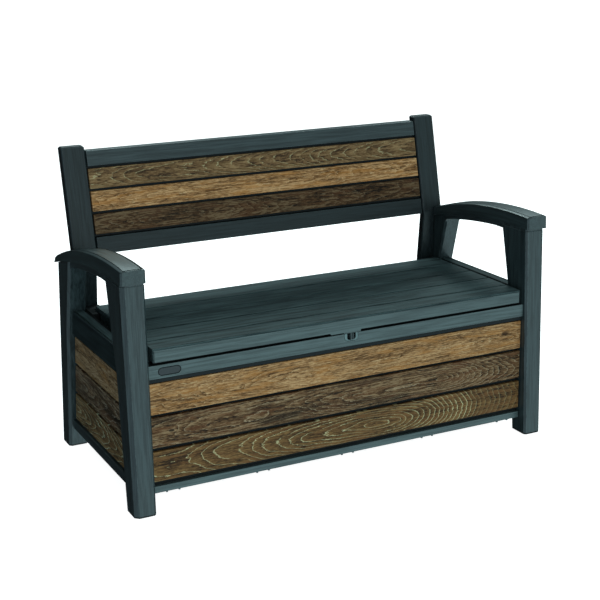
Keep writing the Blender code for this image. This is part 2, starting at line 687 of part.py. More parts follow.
def stile_ring(x_range, y_range, z, side, edge):
    """Section of a stile with small chamfers on its four corners."""
    (x0, x1), (y0, y1) = x_range, y_range
    corners = [
        (x0 + edge, y0), (x1 - edge, y0), (x1, y0 + edge), (x1, y1 - edge),
        (x1 - edge, y1), (x0 + edge, y1), (x0, y1 - edge), (x0, y0 + edge),
    ]
    return [(side * x, y, z) for x, y in corners]


def make_back_rail(name, z_range, material):
    """Backrest rail whose ends step back to leave a shadow gap next to the stiles."""
    inset = BACK_RAIL_INSET
    outline = leaning_outline(z_range, inset, BACK_THICKNESS - inset)
    rail = prism_x(name, outline, (-BACK_HALF_X, BACK_HALF_X), material)
    step = leaning_outline((z_range[0] - 0.01, z_range[1] + 0.01), -0.01, 0.01 + BACK_GAP_DEPTH)
    for label, side in SIDES:
        cut_x = mirrored((BACK_FACE_HALF_X, BACK_HALF_X + 0.01), side)
        cut(rail, prism_x(name + "_step_" + label, step, cut_x, None))


def make_backrest(resin, woods):
    half = (-BACK_HALF_X, BACK_HALF_X)
    make_back_rail("back_top_rail", BACK_TOP_RAIL_Z, resin)
    make_back_rail("back_bottom_rail", BACK_LOW_RAIL_Z, resin)
    for i, level in enumerate(("bottom", "middle", "top")):
        z0 = BACK_LOW_RAIL_Z[1] + BACK_BOARD_GAP + i * (BACK_BOARD_HEIGHT + BACK_BOARD_GAP)
        outline = leaning_outline((z0, z0 + BACK_BOARD_HEIGHT), BACK_BOARD_INSET, BACK_BOARD_THICKNESS)
        prism_x("back_board_" + level, outline, (-BACK_FACE_HALF_X, BACK_FACE_HALF_X), woods[level])
    panel_z = (BACK_LOW_RAIL_Z[1] + GAP, BACK_TOP_RAIL_Z[0] - GAP)
    panel_inset = BACK_BOARD_INSET + BACK_BOARD_THICKNESS + GAP
    prism_x("back_panel", leaning_outline(panel_z, panel_inset, BACK_BOARD_THICKNESS), half, resin)


def make_stile_bolts(label, side, stile, leg, steel):
    """Two bolts that hold each stile to its rear leg, with their heads sunk in the stile."""
    head_start = STILE_FOOT_X[0] + 2 * GAP
    head_end = head_start + BOLT_HEAD_HEIGHT
    for i, z in enumerate(BOLT_HEIGHTS):
        centre = (stile_foot_y(z) + STILE_FOOT_INSET + STILE_FOOT_THICKNESS / 2, z)
        tag = label + "_stile_bolt_" + ("lower", "upper")[i]
        sections = [
            (head_start, BOLT_HEAD_RADIUS * 0.85), (head_start + 0.001, BOLT_HEAD_RADIUS),
            (head_end, BOLT_HEAD_RADIUS), (head_end, BOLT_RADIUS), (BOLT_END_X, BOLT_RADIUS),
        ]
        rings = [[(side * x, y, h) for y, h in disc(centre, radius)] for x, radius in sections]
        loft(tag, rings, steel, smooth=True)
        bore_x = mirrored((STILE_FOOT_X[0] - 0.01, BOLT_END_X + 0.005), side)
        bore = prism_x(tag + "_bore", disc(centre, BOLT_BORE_RADIUS), bore_x, None)
        seat_x = mirrored((STILE_FOOT_X[0] - 0.01, head_end + GAP), side)
        seat = prism_x(tag + "_seat", disc(centre, BOLT_HEAD_RADIUS + 0.0004), seat_x, None)
        cut(stile, bore, seat)
        cut(leg, bore)


# ---------------------------------------------------------------- assembly
def main():
    for obj in list(bpy.data.objects):
        bpy.data.objects.remove(obj, do_unlink=True)

    resin = make_material("graphite_resin", (0.055, 0.075, 0.082), 0.55)
    lid_resin = make_material("lid_resin", (0.035, 0.047, 0.052), 0.60)
    badge_material = make_material("badge_plate", (0.040, 0.050, 0.065), 0.40)
    steel = make_material("zinc_steel", (0.55, 0.56, 0.58), 0.35, 1.0)
    golden = make_material("wood_golden", (0.33, 0.21, 0.09), 0.60)
    dark = make_material("wood_dark", (0.09, 0.055, 0.032), 0.60)
    russet = make_material("wood_russet", (0.15, 0.085, 0.038), 0.60)
    walnut = make_material("wood_walnut", (0.16, 0.105, 0.055), 0.60)
    front_woods = {"top": golden, "middle": dark, "bottom": russet}
    back_woods = {"top": walnut, "middle": golden, "bottom": dark}

    for label, side in SIDES:
        make_front_leg(label + "_front_leg", side, resin)
        rear_leg = make_rear_leg(label + "_rear_leg", side, resin)
        make_arm_beam(label + "_arm_beam", side, resin)
        make_arm_cap(label + "_arm_cap", side, resin)
        make_side(label, side, resin, front_woods)
        stile = make_stile(label + "_back_stile", side, resin)
        make_stile_bolts(label, side, stile, rear_leg, steel)

    make_front(resin, front_woods, badge_material)
    make_rear(resin)
    make_floor(resin)
    make_backrest(resin, back_woods)

    hinge_axis = hinge_axis_empty()
    make_lid("lid", hinge_axis, lid_resin)
    make_padlock_eyes(resin)
    set_origin(bpy.data.objects["lid_hasp"], hinge_axis)
    for label, side in SIDES:
        make_hinge(label, side, hinge_axis, resin, steel)


main()
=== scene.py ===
"""Storage bench with an opening seat lid: the visual model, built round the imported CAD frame."""

import json
import math

import bmesh
import bpy
from mathutils import Matrix, Vector


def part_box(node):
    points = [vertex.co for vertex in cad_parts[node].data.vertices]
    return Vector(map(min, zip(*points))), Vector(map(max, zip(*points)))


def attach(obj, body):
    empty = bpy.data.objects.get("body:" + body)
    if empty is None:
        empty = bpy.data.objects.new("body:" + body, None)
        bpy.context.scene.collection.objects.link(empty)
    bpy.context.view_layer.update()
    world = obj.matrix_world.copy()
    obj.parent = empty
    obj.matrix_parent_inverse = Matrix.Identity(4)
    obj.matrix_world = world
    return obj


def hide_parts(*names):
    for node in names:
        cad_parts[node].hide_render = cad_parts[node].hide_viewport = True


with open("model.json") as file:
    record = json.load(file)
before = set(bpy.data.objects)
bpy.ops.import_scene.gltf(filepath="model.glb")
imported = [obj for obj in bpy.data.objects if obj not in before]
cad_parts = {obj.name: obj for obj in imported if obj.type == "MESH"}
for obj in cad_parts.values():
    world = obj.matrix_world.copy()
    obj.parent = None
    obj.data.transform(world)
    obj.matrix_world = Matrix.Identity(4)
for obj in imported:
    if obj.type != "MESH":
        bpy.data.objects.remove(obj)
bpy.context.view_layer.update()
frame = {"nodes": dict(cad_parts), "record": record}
NODES = frame["nodes"]
BODIES = frame["record"]["behaviour"]["bodies"]
BODY_OF = {node: body for body, nodes in BODIES.items() for node in nodes}
SIDES = (("left", -1), ("right", 1))
LEVELS = ("bottom", "middle", "top")
COLLECTION = bpy.context.scene.collection
LEAN = math.radians(12.05)  # how far the backrest leans back
CLEAR = 0.01  # how far a cutter reaches past what it cuts


# ---------- node materials
class Value:
    """A socket in a shader, with arithmetic that adds Math nodes."""

    def __init__(self, shader, socket):
        self.shader = shader
        self.socket = socket

    def _math(self, kind, *others, clamp=False):
        return self.shader.math(kind, self, *others, clamp=clamp)

    def __add__(self, other):
        return self._math("ADD", other)

    def __sub__(self, other):
        return self._math("SUBTRACT", other)

    def __mul__(self, other):
        return self._math("MULTIPLY", other)

    def __truediv__(self, other):
        return self._math("DIVIDE", other)

    def absolute(self):
        return self._math("ABSOLUTE")

    def power(self, exponent):
        return self._math("POWER", exponent)

    def clamped(self):
        return self._math("ADD", 0.0, clamp=True)

    def flipped(self):
        """1 where the value is 0, and 0 where it is 1."""
        return self * -1.0 + 1.0

    def fraction(self):
        return self - self.shader.math("FLOOR", self)

    def ramp(self, low, high):
        """Smooth step from 0 at low to 1 at high."""
        node = self.shader.new("ShaderNodeMapRange")
        node.interpolation_type = "SMOOTHSTEP"
        self.shader.feed(node.inputs["Value"], self)
        node.inputs["From Min"].default_value = low
        node.inputs["From Max"].default_value = high
        return Value(self.shader, node.outputs["Result"])


class Shader:
    """Builds one procedural Principled material."""

    def __init__(self, name):
        self.material = bpy.data.materials.new(name)
        self.material.use_nodes = True
        self.nodes = self.material.node_tree.nodes
        self.links = self.material.node_tree.links
        self.nodes.clear()
        self.bsdf = self.new("ShaderNodeBsdfPrincipled")
        output = self.new("ShaderNodeOutputMaterial")
        self.links.new(self.bsdf.outputs["BSDF"], output.inputs["Surface"])

    def new(self, kind):
        return self.nodes.new(kind)

    def feed(self, socket, value):
        if isinstance(value, Value):
            self.links.new(value.socket, socket)
        else:
            socket.default_value = value

    def math(self, kind, *values, clamp=False):
        node = self.new("ShaderNodeMath")
        node.operation = kind
        node.use_clamp = clamp
        for socket, value in zip(node.inputs, values):
            self.feed(socket, value)
        return Value(self, node.outputs["Value"])

    def attribute(self, name):
        node = self.new("ShaderNodeAttribute")
        node.attribute_name = name
        return node

    def grain(self):
        """The three grain coordinates in metres: along, across and into the piece."""
        split = self.new("ShaderNodeSeparateXYZ")
        self.links.new(self.attribute("grain").outputs["Vector"], split.inputs["Vector"])
        return [Value(self, socket) for socket in split.outputs]

    def wear(self):
        """1 on the rounded edges and 0 elsewhere."""
        return Value(self, self.attribute("wear").outputs["Fac"])

    def vector(self, *parts):
        node = self.new("ShaderNodeCombineXYZ")
        for socket, part in zip(node.inputs, parts):
            self.feed(socket, part)
        return Value(self, node.outputs["Vector"])

    def noise(self, vector, detail, roughness, distortion=0.0):
        """Noise from about 0 to 1 at the scale of the vector."""
        node = self.new("ShaderNodeTexNoise")
        self.feed(node.inputs["Vector"], vector)
        node.inputs["Scale"].default_value = 1.0
        node.inputs["Detail"].default_value = detail
        node.inputs["Roughness"].default_value = roughness
        node.inputs["Distortion"].default_value = distortion
        return Value(self, node.outputs["Fac"])

    def streaks(self, grain, lengthwise, crosswise, detail, roughness, distortion=0.0, seed=0.0):
        """Noise with one scale along the grain and another one across it and into the piece."""
        along, across, depth = grain
        depth = depth * crosswise
        if seed:
            depth = depth + seed
        place = self.vector(along * lengthwise, across * crosswise, depth)
        return self.noise(place, detail, roughness, distortion)

    def mix(self, factor, first, second):
        """Colour between the first at factor 0 and the second at factor 1."""
        node = self.new("ShaderNodeMix")
        node.data_type = "RGBA"
        self.feed(node.inputs["Factor"], factor)
        for socket, colour in ((node.inputs[6], first), (node.inputs[7], second)):
            self.feed(socket, colour if isinstance(colour, Value) else (*colour, 1.0))
        return Value(self, node.outputs[2])

    def bump(self, height, distance, strength):
        node = self.new("ShaderNodeBump")
        node.inputs["Strength"].default_value = strength
        node.inputs["Distance"].default_value = distance
        self.feed(node.inputs["Height"], height)
        self.links.new(node.outputs["Normal"], self.bsdf.inputs["Normal"])

    def finish(self, colour, roughness, **constants):
        self.feed(self.bsdf.inputs["Base Color"], colour)
        self.feed(self.bsdf.inputs["Roughness"], roughness)
        for socket, value in constants.items():
            self.bsdf.inputs[socket.replace("_", " ")].default_value = value
        return self.material


def scaled(colour, factor):
    return tuple(c * factor for c in colour)


def make_resin(name, dark, light, worn, rough, specular=0.5, relief=1.0):
    """Moulded resin with a brushed wood-grain texture along each member and paler, rubbed edges.

    rough: roughness of the smoothest and of the dullest streaks. relief: strength of the bump.
    """
    s = Shader(name)
    grain = s.grain()
    streaks = s.streaks(grain, 11.0, 340.0, 3.0, 0.6)
    bands = s.streaks(grain, 5.0, 130.0, 3.0, 0.6, 0.4)
    specks = s.streaks(grain, 160.0, 900.0, 2.0, 0.6)
    tone = (streaks * 0.40 + bands * 0.50 + specks * 0.10).ramp(0.38, 0.62)
    colour = s.mix(tone, dark, light)
    patches = s.streaks(grain, 70.0, 260.0, 3.0, 0.65)
    rubbed = s.wear() * patches.ramp(0.36, 0.62) * 0.75
    colour = s.mix(rubbed, colour, worn)
    spread = rough[1] - rough[0]
    roughness = (streaks * 0.5 + bands * 0.5).ramp(0.3, 0.7) * spread + rough[0]
    roughness = roughness - rubbed * 0.08
    s.bump(streaks * 0.8 + specks * 0.35 + bands * 0.3, 0.00035, 0.55 * relief)
    return s.finish(colour, roughness, Specular_IOR_Level=specular)


def make_wood(name, tones, rings, lines, centre, slope, wander, ripple, seed, knots=(),
              dark_patches=0.0, bow=0.0, slope_right=None, squash=1.0, solid=0.0, widen=0.0,
              reach_right=None):
    """Board with growth rings in long arches, fine fibres, pores and worn arrises.

    tones: dark, middle, light, ring-line and warm colours. rings: ring spacing in metres.
    lines: strength of the ring lines. centre: place along the board that closed rings turn
    round; with a bow the rings are open arches that all point to the left. slope: how steeply
    the rings run out, and slope_right the same to the right of the centre, where widen keeps the
    closer lines as broad. wander and ripple: slow and quick waves of the rings, in metres.
    knots: place, height and size of each. squash: below 1 the rings are taller, above 1 flatter.
    solid: how unbroken the lines are. reach_right: how far right of the centre the lines stay
    strong.
    """
    dark, middle, light, line, warm = tones
    line_width = 0.06  # half the width of a ring line, in ring spacings
    s = Shader(name)
    grain = s.grain()
    along, across, _ = grain

    def flat_noise(lengthwise, crosswise, offset, detail, roughness):
        """Noise that is the same all through the board's thickness."""
        place = s.vector(along * lengthwise, across * crosswise, seed + offset)
        return s.noise(place, detail, roughness)

    # Distance from the heart of the tree.
    drift = s.noise(s.vector(along * 2.1, 3.7 + seed, 0.0), 2.0, 0.5) - 0.5
    waves = flat_noise(7.0, 22.0, 0.0, 2.0, 0.55) - 0.5
    teeth = flat_noise(46.0, 240.0, 4.0, 2.0, 0.6) - 0.5
    zones = flat_noise(6.0, 9.0, 40.0, 1.0, 0.5).ramp(0.40, 0.62)
    offset = along - centre
    rise = offset * slope
    if slope_right:
        rise = rise + s.math("MAXIMUM", offset, 0.0) * (slope_right - slope)
    rise = rise + drift * 0.06 + waves * wander * 2.0
    side = (across + drift * 0.030 + waves * wander) * squash
    if bow:
        radius = rise - side * side * bow + side * 0.08 + 2.0
    else:
        radius = (rise * rise + side * side + 0.00002).power(0.5)
    radius = radius + teeth * (zones * 1.6 + 0.9) * ripple * 1.4

    # Knots push the rings aside.
    spots = None
    for place, height, size in knots:
        area = size * size
        reach = ((along - place) * 0.45).power(2.0) + (across - height).power(2.0)
        spot = s.math("DIVIDE", area, reach + area * 0.6)
        radius = radius + spot * rings * 1.1
        mark = spot.ramp(0.75, 1.45)
        spots = mark if spots is None else spots + mark

    # Ring lines, and fainter ones between them.
    phase = radius / rings + drift * 3.0
    saw = phase.fraction()
    fade = flat_noise(13.0, 60.0, 9.0, 2.0, 0.6)
    gap = s.math("MINIMUM", saw, saw.flipped())
    if widen:
        gap = gap / (offset.ramp(0.0, 0.06) * widen + line_width)
    else:
        gap = gap / line_width
    unbroken = fade.ramp(0.38 - solid, 0.56 - solid)
    ring_line = gap.ramp(1.0, 0.40) * unbroken * (zones * 0.4 + 0.6)
    if reach_right:
        near = (offset + waves * 0.10).ramp(reach_right + 0.03, reach_right - 0.03)
        ring_line = ring_line * (near * 0.8 + 0.2)
    minor = (phase * 3.0 + teeth).fraction() - 0.5
    minor = minor.absolute().ramp(0.36, 0.48) * fade.ramp(0.62, 0.42)

    # Colour, from the broad tones to the pores, the knots and the worn edges.
    strands = s.streaks(grain, 14.0, 150.0, 3.0, 0.6, seed=seed)
    fibres = s.streaks(grain, 60.0, 330.0, 3.0, 0.7, seed=seed)
    pores = s.streaks(grain, 60.0, 900.0, 2.0, 0.6, seed=seed)
    blotches = flat_noise(4.5, 26.0, 15.0, 3.0, 0.55)
    body = saw * 0.20 + blotches * 0.55 + strands * 0.95 + fibres * 1.05 - 0.87
    colour = s.mix(body.ramp(0.30, 0.50), dark, middle)
    colour = s.mix(body.ramp(0.50, 0.70), colour, light)
    hue = flat_noise(9.0, 70.0, 22.0, 3.0, 0.6)
    colour = s.mix(hue.ramp(0.48, 0.66) * 0.60, colour, warm)
    if dark_patches:
        stain = flat_noise(3.2, 20.0, 31.0, 4.0, 0.6).ramp(0.52, 0.70)
        colour = s.mix(stain * dark_patches, colour, scaled(dark, 0.45))
    colour = s.mix(minor * 0.40, colour, light)
    colour = s.mix(ring_line * lines, colour, line)
    colour = s.mix(pores.flipped().ramp(0.56, 0.70) * 0.45, colour, scaled(dark, 0.55))
    if spots is not None:
        colour = s.mix(spots.clamped() * 0.85, colour, scaled(dark, 0.30))
    colour = s.mix(s.wear() * fade.ramp(0.35, 0.6) * 0.45, colour, light)
    roughness = fibres * 0.22 + pores * 0.12 + 0.42
    s.bump(ring_line * 0.5 + fibres * 0.7 + pores * 0.4, 0.0004, 0.6)
    return s.finish(colour, roughness, Specular_IOR_Level=0.12)


def make_steel(name):
    """Dark steel with fine turning marks, dull patches and brighter edges."""
    s = Shader(name)
    grain = s.grain()
    marks = s.streaks(grain, 2600.0, 120.0, 2.0, 0.6)
    dull = s.streaks(grain, 90.0, 90.0, 3.0, 0.6)
    colour = s.mix(dull.ramp(0.35, 0.7), (0.055, 0.060, 0.064), (0.120, 0.126, 0.132))
    colour = s.mix(s.wear() * 0.5, colour, (0.20, 0.205, 0.21))
    s.bump(marks, 0.0001, 0.4)
    return s.finish(colour, marks * 0.2 + dull * 0.2 + 0.18, Metallic=1.0)


def make_floor_material():
    """Pale, faintly mottled floor that glows, so that it stays white under soft light."""
    s = Shader("studio_floor")
    place = s.new("ShaderNodeTexCoord")
    mottle = s.noise(Value(s, place.outputs["Object"]), 3.0, 0.5)
    colour = s.mix(mottle, (0.80, 0.80, 0.80), (0.84, 0.84, 0.84))
    s.bsdf.inputs["Emission Color"].default_value = (1.0, 1.0, 1.0, 1.0)
    return s.finish(colour, mottle * 0.1 + 0.8, Emission_Strength=0.93, Specular_IOR_Level=0.0)


# Resins: dark and light streaks, worn edges, range of roughness.
RESIN = make_resin("graphite_resin", (0.010, 0.017, 0.019), (0.034, 0.052, 0.056),
                   (0.075, 0.105, 0.110), (0.28, 0.40))
RAIL = make_resin("rail_resin", (0.030, 0.047, 0.049), (0.074, 0.108, 0.110),
                  (0.110, 0.150, 0.155), (0.28, 0.40))
# Darker copy of the resin for the backrest's stiles and lower rail: painted shade.
BACK_SHADE = make_resin("back_shade_resin", (0.005, 0.009, 0.010), (0.015, 0.024, 0.027),
                  (0.050, 0.072, 0.077), (0.30, 0.42), specular=0.35)
# Darker copy of the resin for the inside of the chest and for parts under and between others:
# painted shade.
INNER_SHADE = make_resin("inner_shade_resin", (0.004, 0.006, 0.007), (0.009, 0.012, 0.013),
                   (0.020, 0.026, 0.028), (0.5, 0.7), specular=0.2)
LID = make_resin("lid_resin", (0.014, 0.023, 0.025), (0.067, 0.101, 0.105),
                 (0.090, 0.126, 0.131), (0.46, 0.60), specular=0.08)
CAP = make_resin("cap_resin", (0.016, 0.026, 0.028), (0.032, 0.050, 0.053),
                 (0.060, 0.090, 0.095), (0.29, 0.37), relief=0.5)
TRIM = make_resin("trim_resin", (0.007, 0.012, 0.013), (0.026, 0.040, 0.043),
                  (0.055, 0.080, 0.085), (0.40, 0.52), specular=0.10)
# Near-black resin on the floors of the side rails' channels: painted shade.
SHADOW = make_resin("channel_shadow_resin", (0.0015, 0.0020, 0.0022), (0.0040, 0.0050, 0.0055),
                    (0.010, 0.013, 0.014), (0.6, 0.8), specular=0.03)
POCKET = make_resin("pocket_resin", (0.070, 0.110, 0.114), (0.170, 0.245, 0.250),
                    (0.200, 0.280, 0.285), (0.30, 0.42), specular=0.35)
PLATE = make_resin("badge_resin", (0.006, 0.009, 0.012), (0.012, 0.017, 0.022),
                   (0.030, 0.040, 0.046), (0.30, 0.45))
STEEL = make_steel("zinc_steel")

# Wood tones: dark, middle, light, ring line, warm.
GOLDEN = ((0.085, 0.036, 0.012), (0.295, 0.145, 0.055), (0.500, 0.290, 0.135),
          (0.720, 0.510, 0.280), (0.400, 0.165, 0.040))
DARK = ((0.016, 0.008, 0.004), (0.110, 0.052, 0.021), (0.270, 0.170, 0.088),
        (0.420, 0.310, 0.190), (0.130, 0.048, 0.018))
RUSSET = ((0.030, 0.014, 0.006), (0.116, 0.057, 0.020), (0.218, 0.118, 0.043),
          (0.560, 0.500, 0.270), (0.175, 0.075, 0.026))
WALNUT = ((0.050, 0.026, 0.013), (0.185, 0.100, 0.044), (0.330, 0.205, 0.095),
          (0.560, 0.480, 0.260), (0.150, 0.085, 0.034))
PALE = tuple(scaled(tone, 1.30) for tone in GOLDEN)
DEEP = tuple(scaled(tone, 0.73) for tone in DARK)


def shaded(tones, level):
    """The same wood, a little greyer and bluer and toned by level: painted light and shade for the
    boards on the chest's ends.
    """
    return tuple((0.98 * level * r, 1.20 * level * g, 1.55 * level * b) for r, g, b in tones)


def chest_woods(tag, shift, golden=GOLDEN, dark=DARK, russet=RUSSET):
    """The chest's three boards: golden at the top, dark in the middle, ringed at the bottom.

    shift moves the figure along the boards and varies it.
    """
    return {
        "top": make_wood(
            "wood_golden_" + tag, golden, rings=0.0052, lines=0.60, centre=0.15 + shift,
            slope=0.07, wander=0.016, ripple=0.0020, seed=1.0 + shift, dark_patches=0.15,
            knots=((0.540 + shift, 0.010, 0.010), (-0.330 + shift, -0.008, 0.003))),
        "middle": make_wood(
            "wood_dark_" + tag, dark, rings=0.0050, lines=0.75, centre=0.30 + shift,
            slope=0.050, wander=0.008, ripple=0.0012, seed=5.0 + shift, dark_patches=0.80,
            knots=((-0.535 + shift, 0.0, 0.006), (-0.430 + shift, -0.004, 0.004)),
            slope_right=0.20, squash=0.85, solid=0.04, widen=0.02),
        "bottom": make_wood(
            "wood_russet_" + tag, russet, rings=0.0042, lines=0.95, centre=0.175 + shift,
            slope=0.072, wander=0.004, ripple=0.0010, seed=9.0 + shift,
            slope_right=0.28, squash=0.65, solid=0.07, widen=0.05, reach_right=0.26),
    }


FRONT_WOODS = chest_woods("front", 0.0)
# Side boards toned to how the chest's ends are lit: painted light and shade.
SIDE_TONES = (shaded(GOLDEN, 0.84), shaded(DARK, 1.03), shaded(RUSSET, 1.22))
SIDE_WOODS = {
    "left": chest_woods("left", 0.21, *SIDE_TONES),
    "right": chest_woods("right", -0.17, *SIDE_TONES),
}
BACK_WOODS = {
    "top": make_wood(
        "wood_walnut_back", WALNUT, rings=0.0080, lines=0.90, centre=0.0,
        slope=0.15, wander=0.005, ripple=0.0024, seed=13.0, bow=18.0),
    "middle": make_wood(
        "wood_golden_back", PALE, rings=0.0046, lines=0.55, centre=-0.10,
        slope=0.07, wander=0.012, ripple=0.0018, seed=17.0, dark_patches=0.10,
        knots=((0.490, 0.002, 0.004),)),
    "bottom": make_wood(
        "wood_dark_back", DEEP, rings=0.0052, lines=0.55, centre=-0.25,
        slope=0.10, wander=0.008, ripple=0.0020, seed=21.0, dark_patches=0.7),
}


# ---------- grain coordinates
def grain_x(p):
    return (p.x, p.z, p.y)


def grain_y(p):
    return (p.y, p.x, p.z)


def grain_z(p):
    return (p.z, p.x, p.y)


def grain_lean(p):
    """Along a member that leans back with the backrest."""
    along = p.z * math.cos(LEAN) + p.y * math.sin(LEAN)
    return (along, p.x, p.y * math.cos(LEAN) - p.z * math.sin(LEAN))


def grain_arch(p):
    """Along an arm: depth is measured from the arch, so that the streaks follow it."""
    return (p.y, p.x, p.z - arch(CAP_TOP, p.y))


def board_grain(node, axis, lean=0.0):
    """Grain of a board: along its axis, and across it from its own middle."""
    low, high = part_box(node)
    centre = (low + high) / 2

    def place(p):
        across = (p.z - centre.z) / math.cos(lean)
        return (p[axis], across, p[1 - axis] - centre[1 - axis])
    return place


# ---------- mesh helpers
def tidy(bm):
    """Joins doubled vertices, and triangles that lie in one plane."""
    bmesh.ops.remove_doubles(bm, verts=bm.verts, dist=0.00002)
    bmesh.ops.dissolve_limit(bm, angle_limit=math.radians(1.0), verts=bm.verts, edges=bm.edges)
    bmesh.ops.recalc_face_normals(bm, faces=bm.faces)


def cad_mesh(node):
    """Mesh of a CAD node, with its triangles joined into flat faces."""
    bm = bmesh.new()
    bm.from_mesh(NODES[node].data)
    for layer in list(bm.loops.layers.uv):
        bm.loops.layers.uv.remove(layer)
    tidy(bm)
    return bm


def soften(bm, width, segments=2, least=25.0):
    """Rounds the outward edges sharper than least degrees and marks the new faces as worn."""
    wear = bm.faces.layers.float.get("wear") or bm.faces.layers.float.new("wear")
    limit = math.radians(least)
    edges = [edge for edge in bm.edges
             if edge.is_manifold and edge.is_convex and edge.calc_face_angle() > limit]
    made = bmesh.ops.bevel(bm, geom=edges, offset=width, offset_type="OFFSET", segments=segments,
                           profile=0.5, affect="EDGES", clamp_overlap=True)
    for face in made["faces"]:
        face[wear] = 1.0
    return bm


def finish_piece(name, bm, material, grain, body="bench", replaces=(),
                 smooth=38.0):
    """Turns a bmesh into a piece that rides on a body. Edges up to smooth degrees look round."""
    if not bm.faces.layers.float.get("wear"):
        bm.faces.layers.float.new("wear")
    mesh = bpy.data.meshes.new(name)
    bm.to_mesh(mesh)
    bm.free()
    coords = mesh.attributes.new("grain", "FLOAT_VECTOR", "POINT")
    for vertex in mesh.vertices:
        coords.data[vertex.index].vector = grain(vertex.co)
    mesh.materials.append(material)
    mesh.shade_smooth()
    mesh.set_sharp_from_angle(angle=math.radians(smooth))
    piece = bpy.data.objects.new(name, mesh)
    COLLECTION.objects.link(piece)
    modifier = piece.modifiers.new("weighted_normals", "WEIGHTED_NORMAL")
    modifier.keep_sharp = True
    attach(piece, body)
    if replaces:
        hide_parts(*replaces)


def finish_shell(node, bm, material, grain, smooth=38.0):
    """Turns a bmesh into the piece that stands for one CAD node."""
    finish_piece(node + "_shell", bm, material, grain, BODY_OF[node], [node], smooth)


def rounded(node, material, grain, width=0.0010, segments=2):
    """A CAD node with its edges rounded, standing for that node."""
    finish_shell(node, soften(cad_mesh(node), width, segments), material, grain)


def skinned(rings):
    """Closed mesh through rings of equally many points, with quads between the rings."""
    bm = bmesh.new()
    rings = [[bm.verts.new(point) for point in ring] for ring in rings]
    count = len(rings[0])
    for first, second in zip(rings, rings[1:]):
        for i in range(count):
            j = (i + 1) % count
            bm.faces.new((first[i], first[j], second[j], second[i]))
    bm.faces.new(rings[0][::-1])
    bm.faces.new(rings[-1])
    bmesh.ops.recalc_face_normals(bm, faces=bm.faces)
    return bm


def prism_x(outline, x_range):
    """Closed prism along X from an outline of (y, z) points."""
    return skinned([[(x, y, z) for y, z in outline] for x in x_range])


def prism_y(outline, y_range):
    """Closed prism along Y from an outline of (x, z) points."""
    return skinned([[(x, y, z) for x, z in outline] for y in y_range])


def prism_z(outline, z_range):
    """Closed prism along Z from an outline of (x, y) points."""
    return skinned([[(x, y, z) for x, y in outline] for z in z_range])


def block(x_range, y_range, z_range):
    (y0, y1), (z0, z1) = y_range, z_range
    return prism_x([(y0, z0), (y1, z0), (y1, z1), (y0, z1)], x_range)


def past(low, high):
    """Range of a cutter that reaches past both ends of what it cuts."""
    return (low - CLEAR, high + CLEAR)


def around(middle, half):
    return (middle - half, middle + half)


def on_side(side, near, far):
    """X range between two distances from the bench's middle, on its left or right."""
    return sorted((side * near, side * far))


def combined(base, others, operation="DIFFERENCE"):
    """Exact Boolean of bmeshes: base with each of the others. All but the result are freed."""
    objects = []
    for bm in [base, *others]:
        mesh = bpy.data.meshes.new("boolean_part")
        bm.to_mesh(mesh)
        bm.free()
        obj = bpy.data.objects.new("boolean_part", mesh)
        COLLECTION.objects.link(obj)
        objects.append(obj)
    for other in objects[1:]:
        modifier = objects[0].modifiers.new("boolean", "BOOLEAN")
        modifier.operation = operation
        modifier.solver = "EXACT"
        modifier.object = other
    bpy.context.view_layer.update()
    evaluated = objects[0].evaluated_get(bpy.context.evaluated_depsgraph_get())
    result = bmesh.new()
    result.from_mesh(evaluated.to_mesh())
    evaluated.to_mesh_clear()
    for obj in objects:
        mesh = obj.data
        bpy.data.objects.remove(obj, do_unlink=True)
        bpy.data.meshes.remove(mesh)
    bmesh.ops.remove_doubles(result, verts=result.verts, dist=0.00001)
    return result


def joined(parts):
    """Several separate solids in one bmesh."""
    bm = bmesh.new()
    for part in parts:
        mesh = bpy.data.meshes.new("join_part")
        part.to_mesh(mesh)
        part.free()
        bm.from_mesh(mesh)
        bpy.data.meshes.remove(mesh)
    return bm


def arc(centre, radius, start, end, segments):
    """Points on an arc. The angles are in degrees."""
    steps = [math.radians(start + (end - start) * i / segments) for i in range(segments + 1)]
    return [(centre[0] + radius * math.cos(a), centre[1] + radius * math.sin(a)) for a in steps]


def stadium(low, high, inset):
    """Slot outline (x, z) with round ends, inset from a box."""
    radius = (high.z - low.z) / 2 - inset
    middle = (high.z + low.z) / 2
    right = arc((high.x - inset - radius, middle), radius, -90, 90, 16)
    left = arc((low.x + inset + radius, middle), radius, 90, 270, 16)
    return right + left


# ---------- arms
CAP_TOP = (-0.215, 0.682, 1.52)  # an arch: apex y, apex z and radius
CAP_UNDER = (-0.240, 0.6425, 2.00)
CAP_X = (0.595, 0.6635)  # inner and outer face, from the bench's middle
CAP_Y = (-0.3146, 0.280)
CAP_SKIN = 0.0055
CAP_DROOP = (0.060, 0.2, 0.005)  # start y, length and drop of the fall to the rear
CAP_DIP = (-0.03, 0.11, 0.0025)  # start y, length and depth of the inner edge's dip
CAP_TURN = (0.022, 0.010)  # length and drop of the rear end's round
CAP_FLARE = 0.0015  # how far the foot of the outer face stands out
CAP_FOOT = (0.0030, 0.0036)  # lower and upper edge of the step above that foot
CAP_CHAMFER = 0.0050  # upright chamfers of the two front corners
CAP_BEVEL = (0.0074, 0.0028)  # width and drop of the slope along the sides
CAP_GROOVE = (0.0090, 0.0015)  # long grooves: distance from the side, half width
CAP_CROSS_GROOVE = (0.0048, 0.0030)  # cross groove: distance from the front, half width
CAP_GROOVE_DEPTH = 0.0028
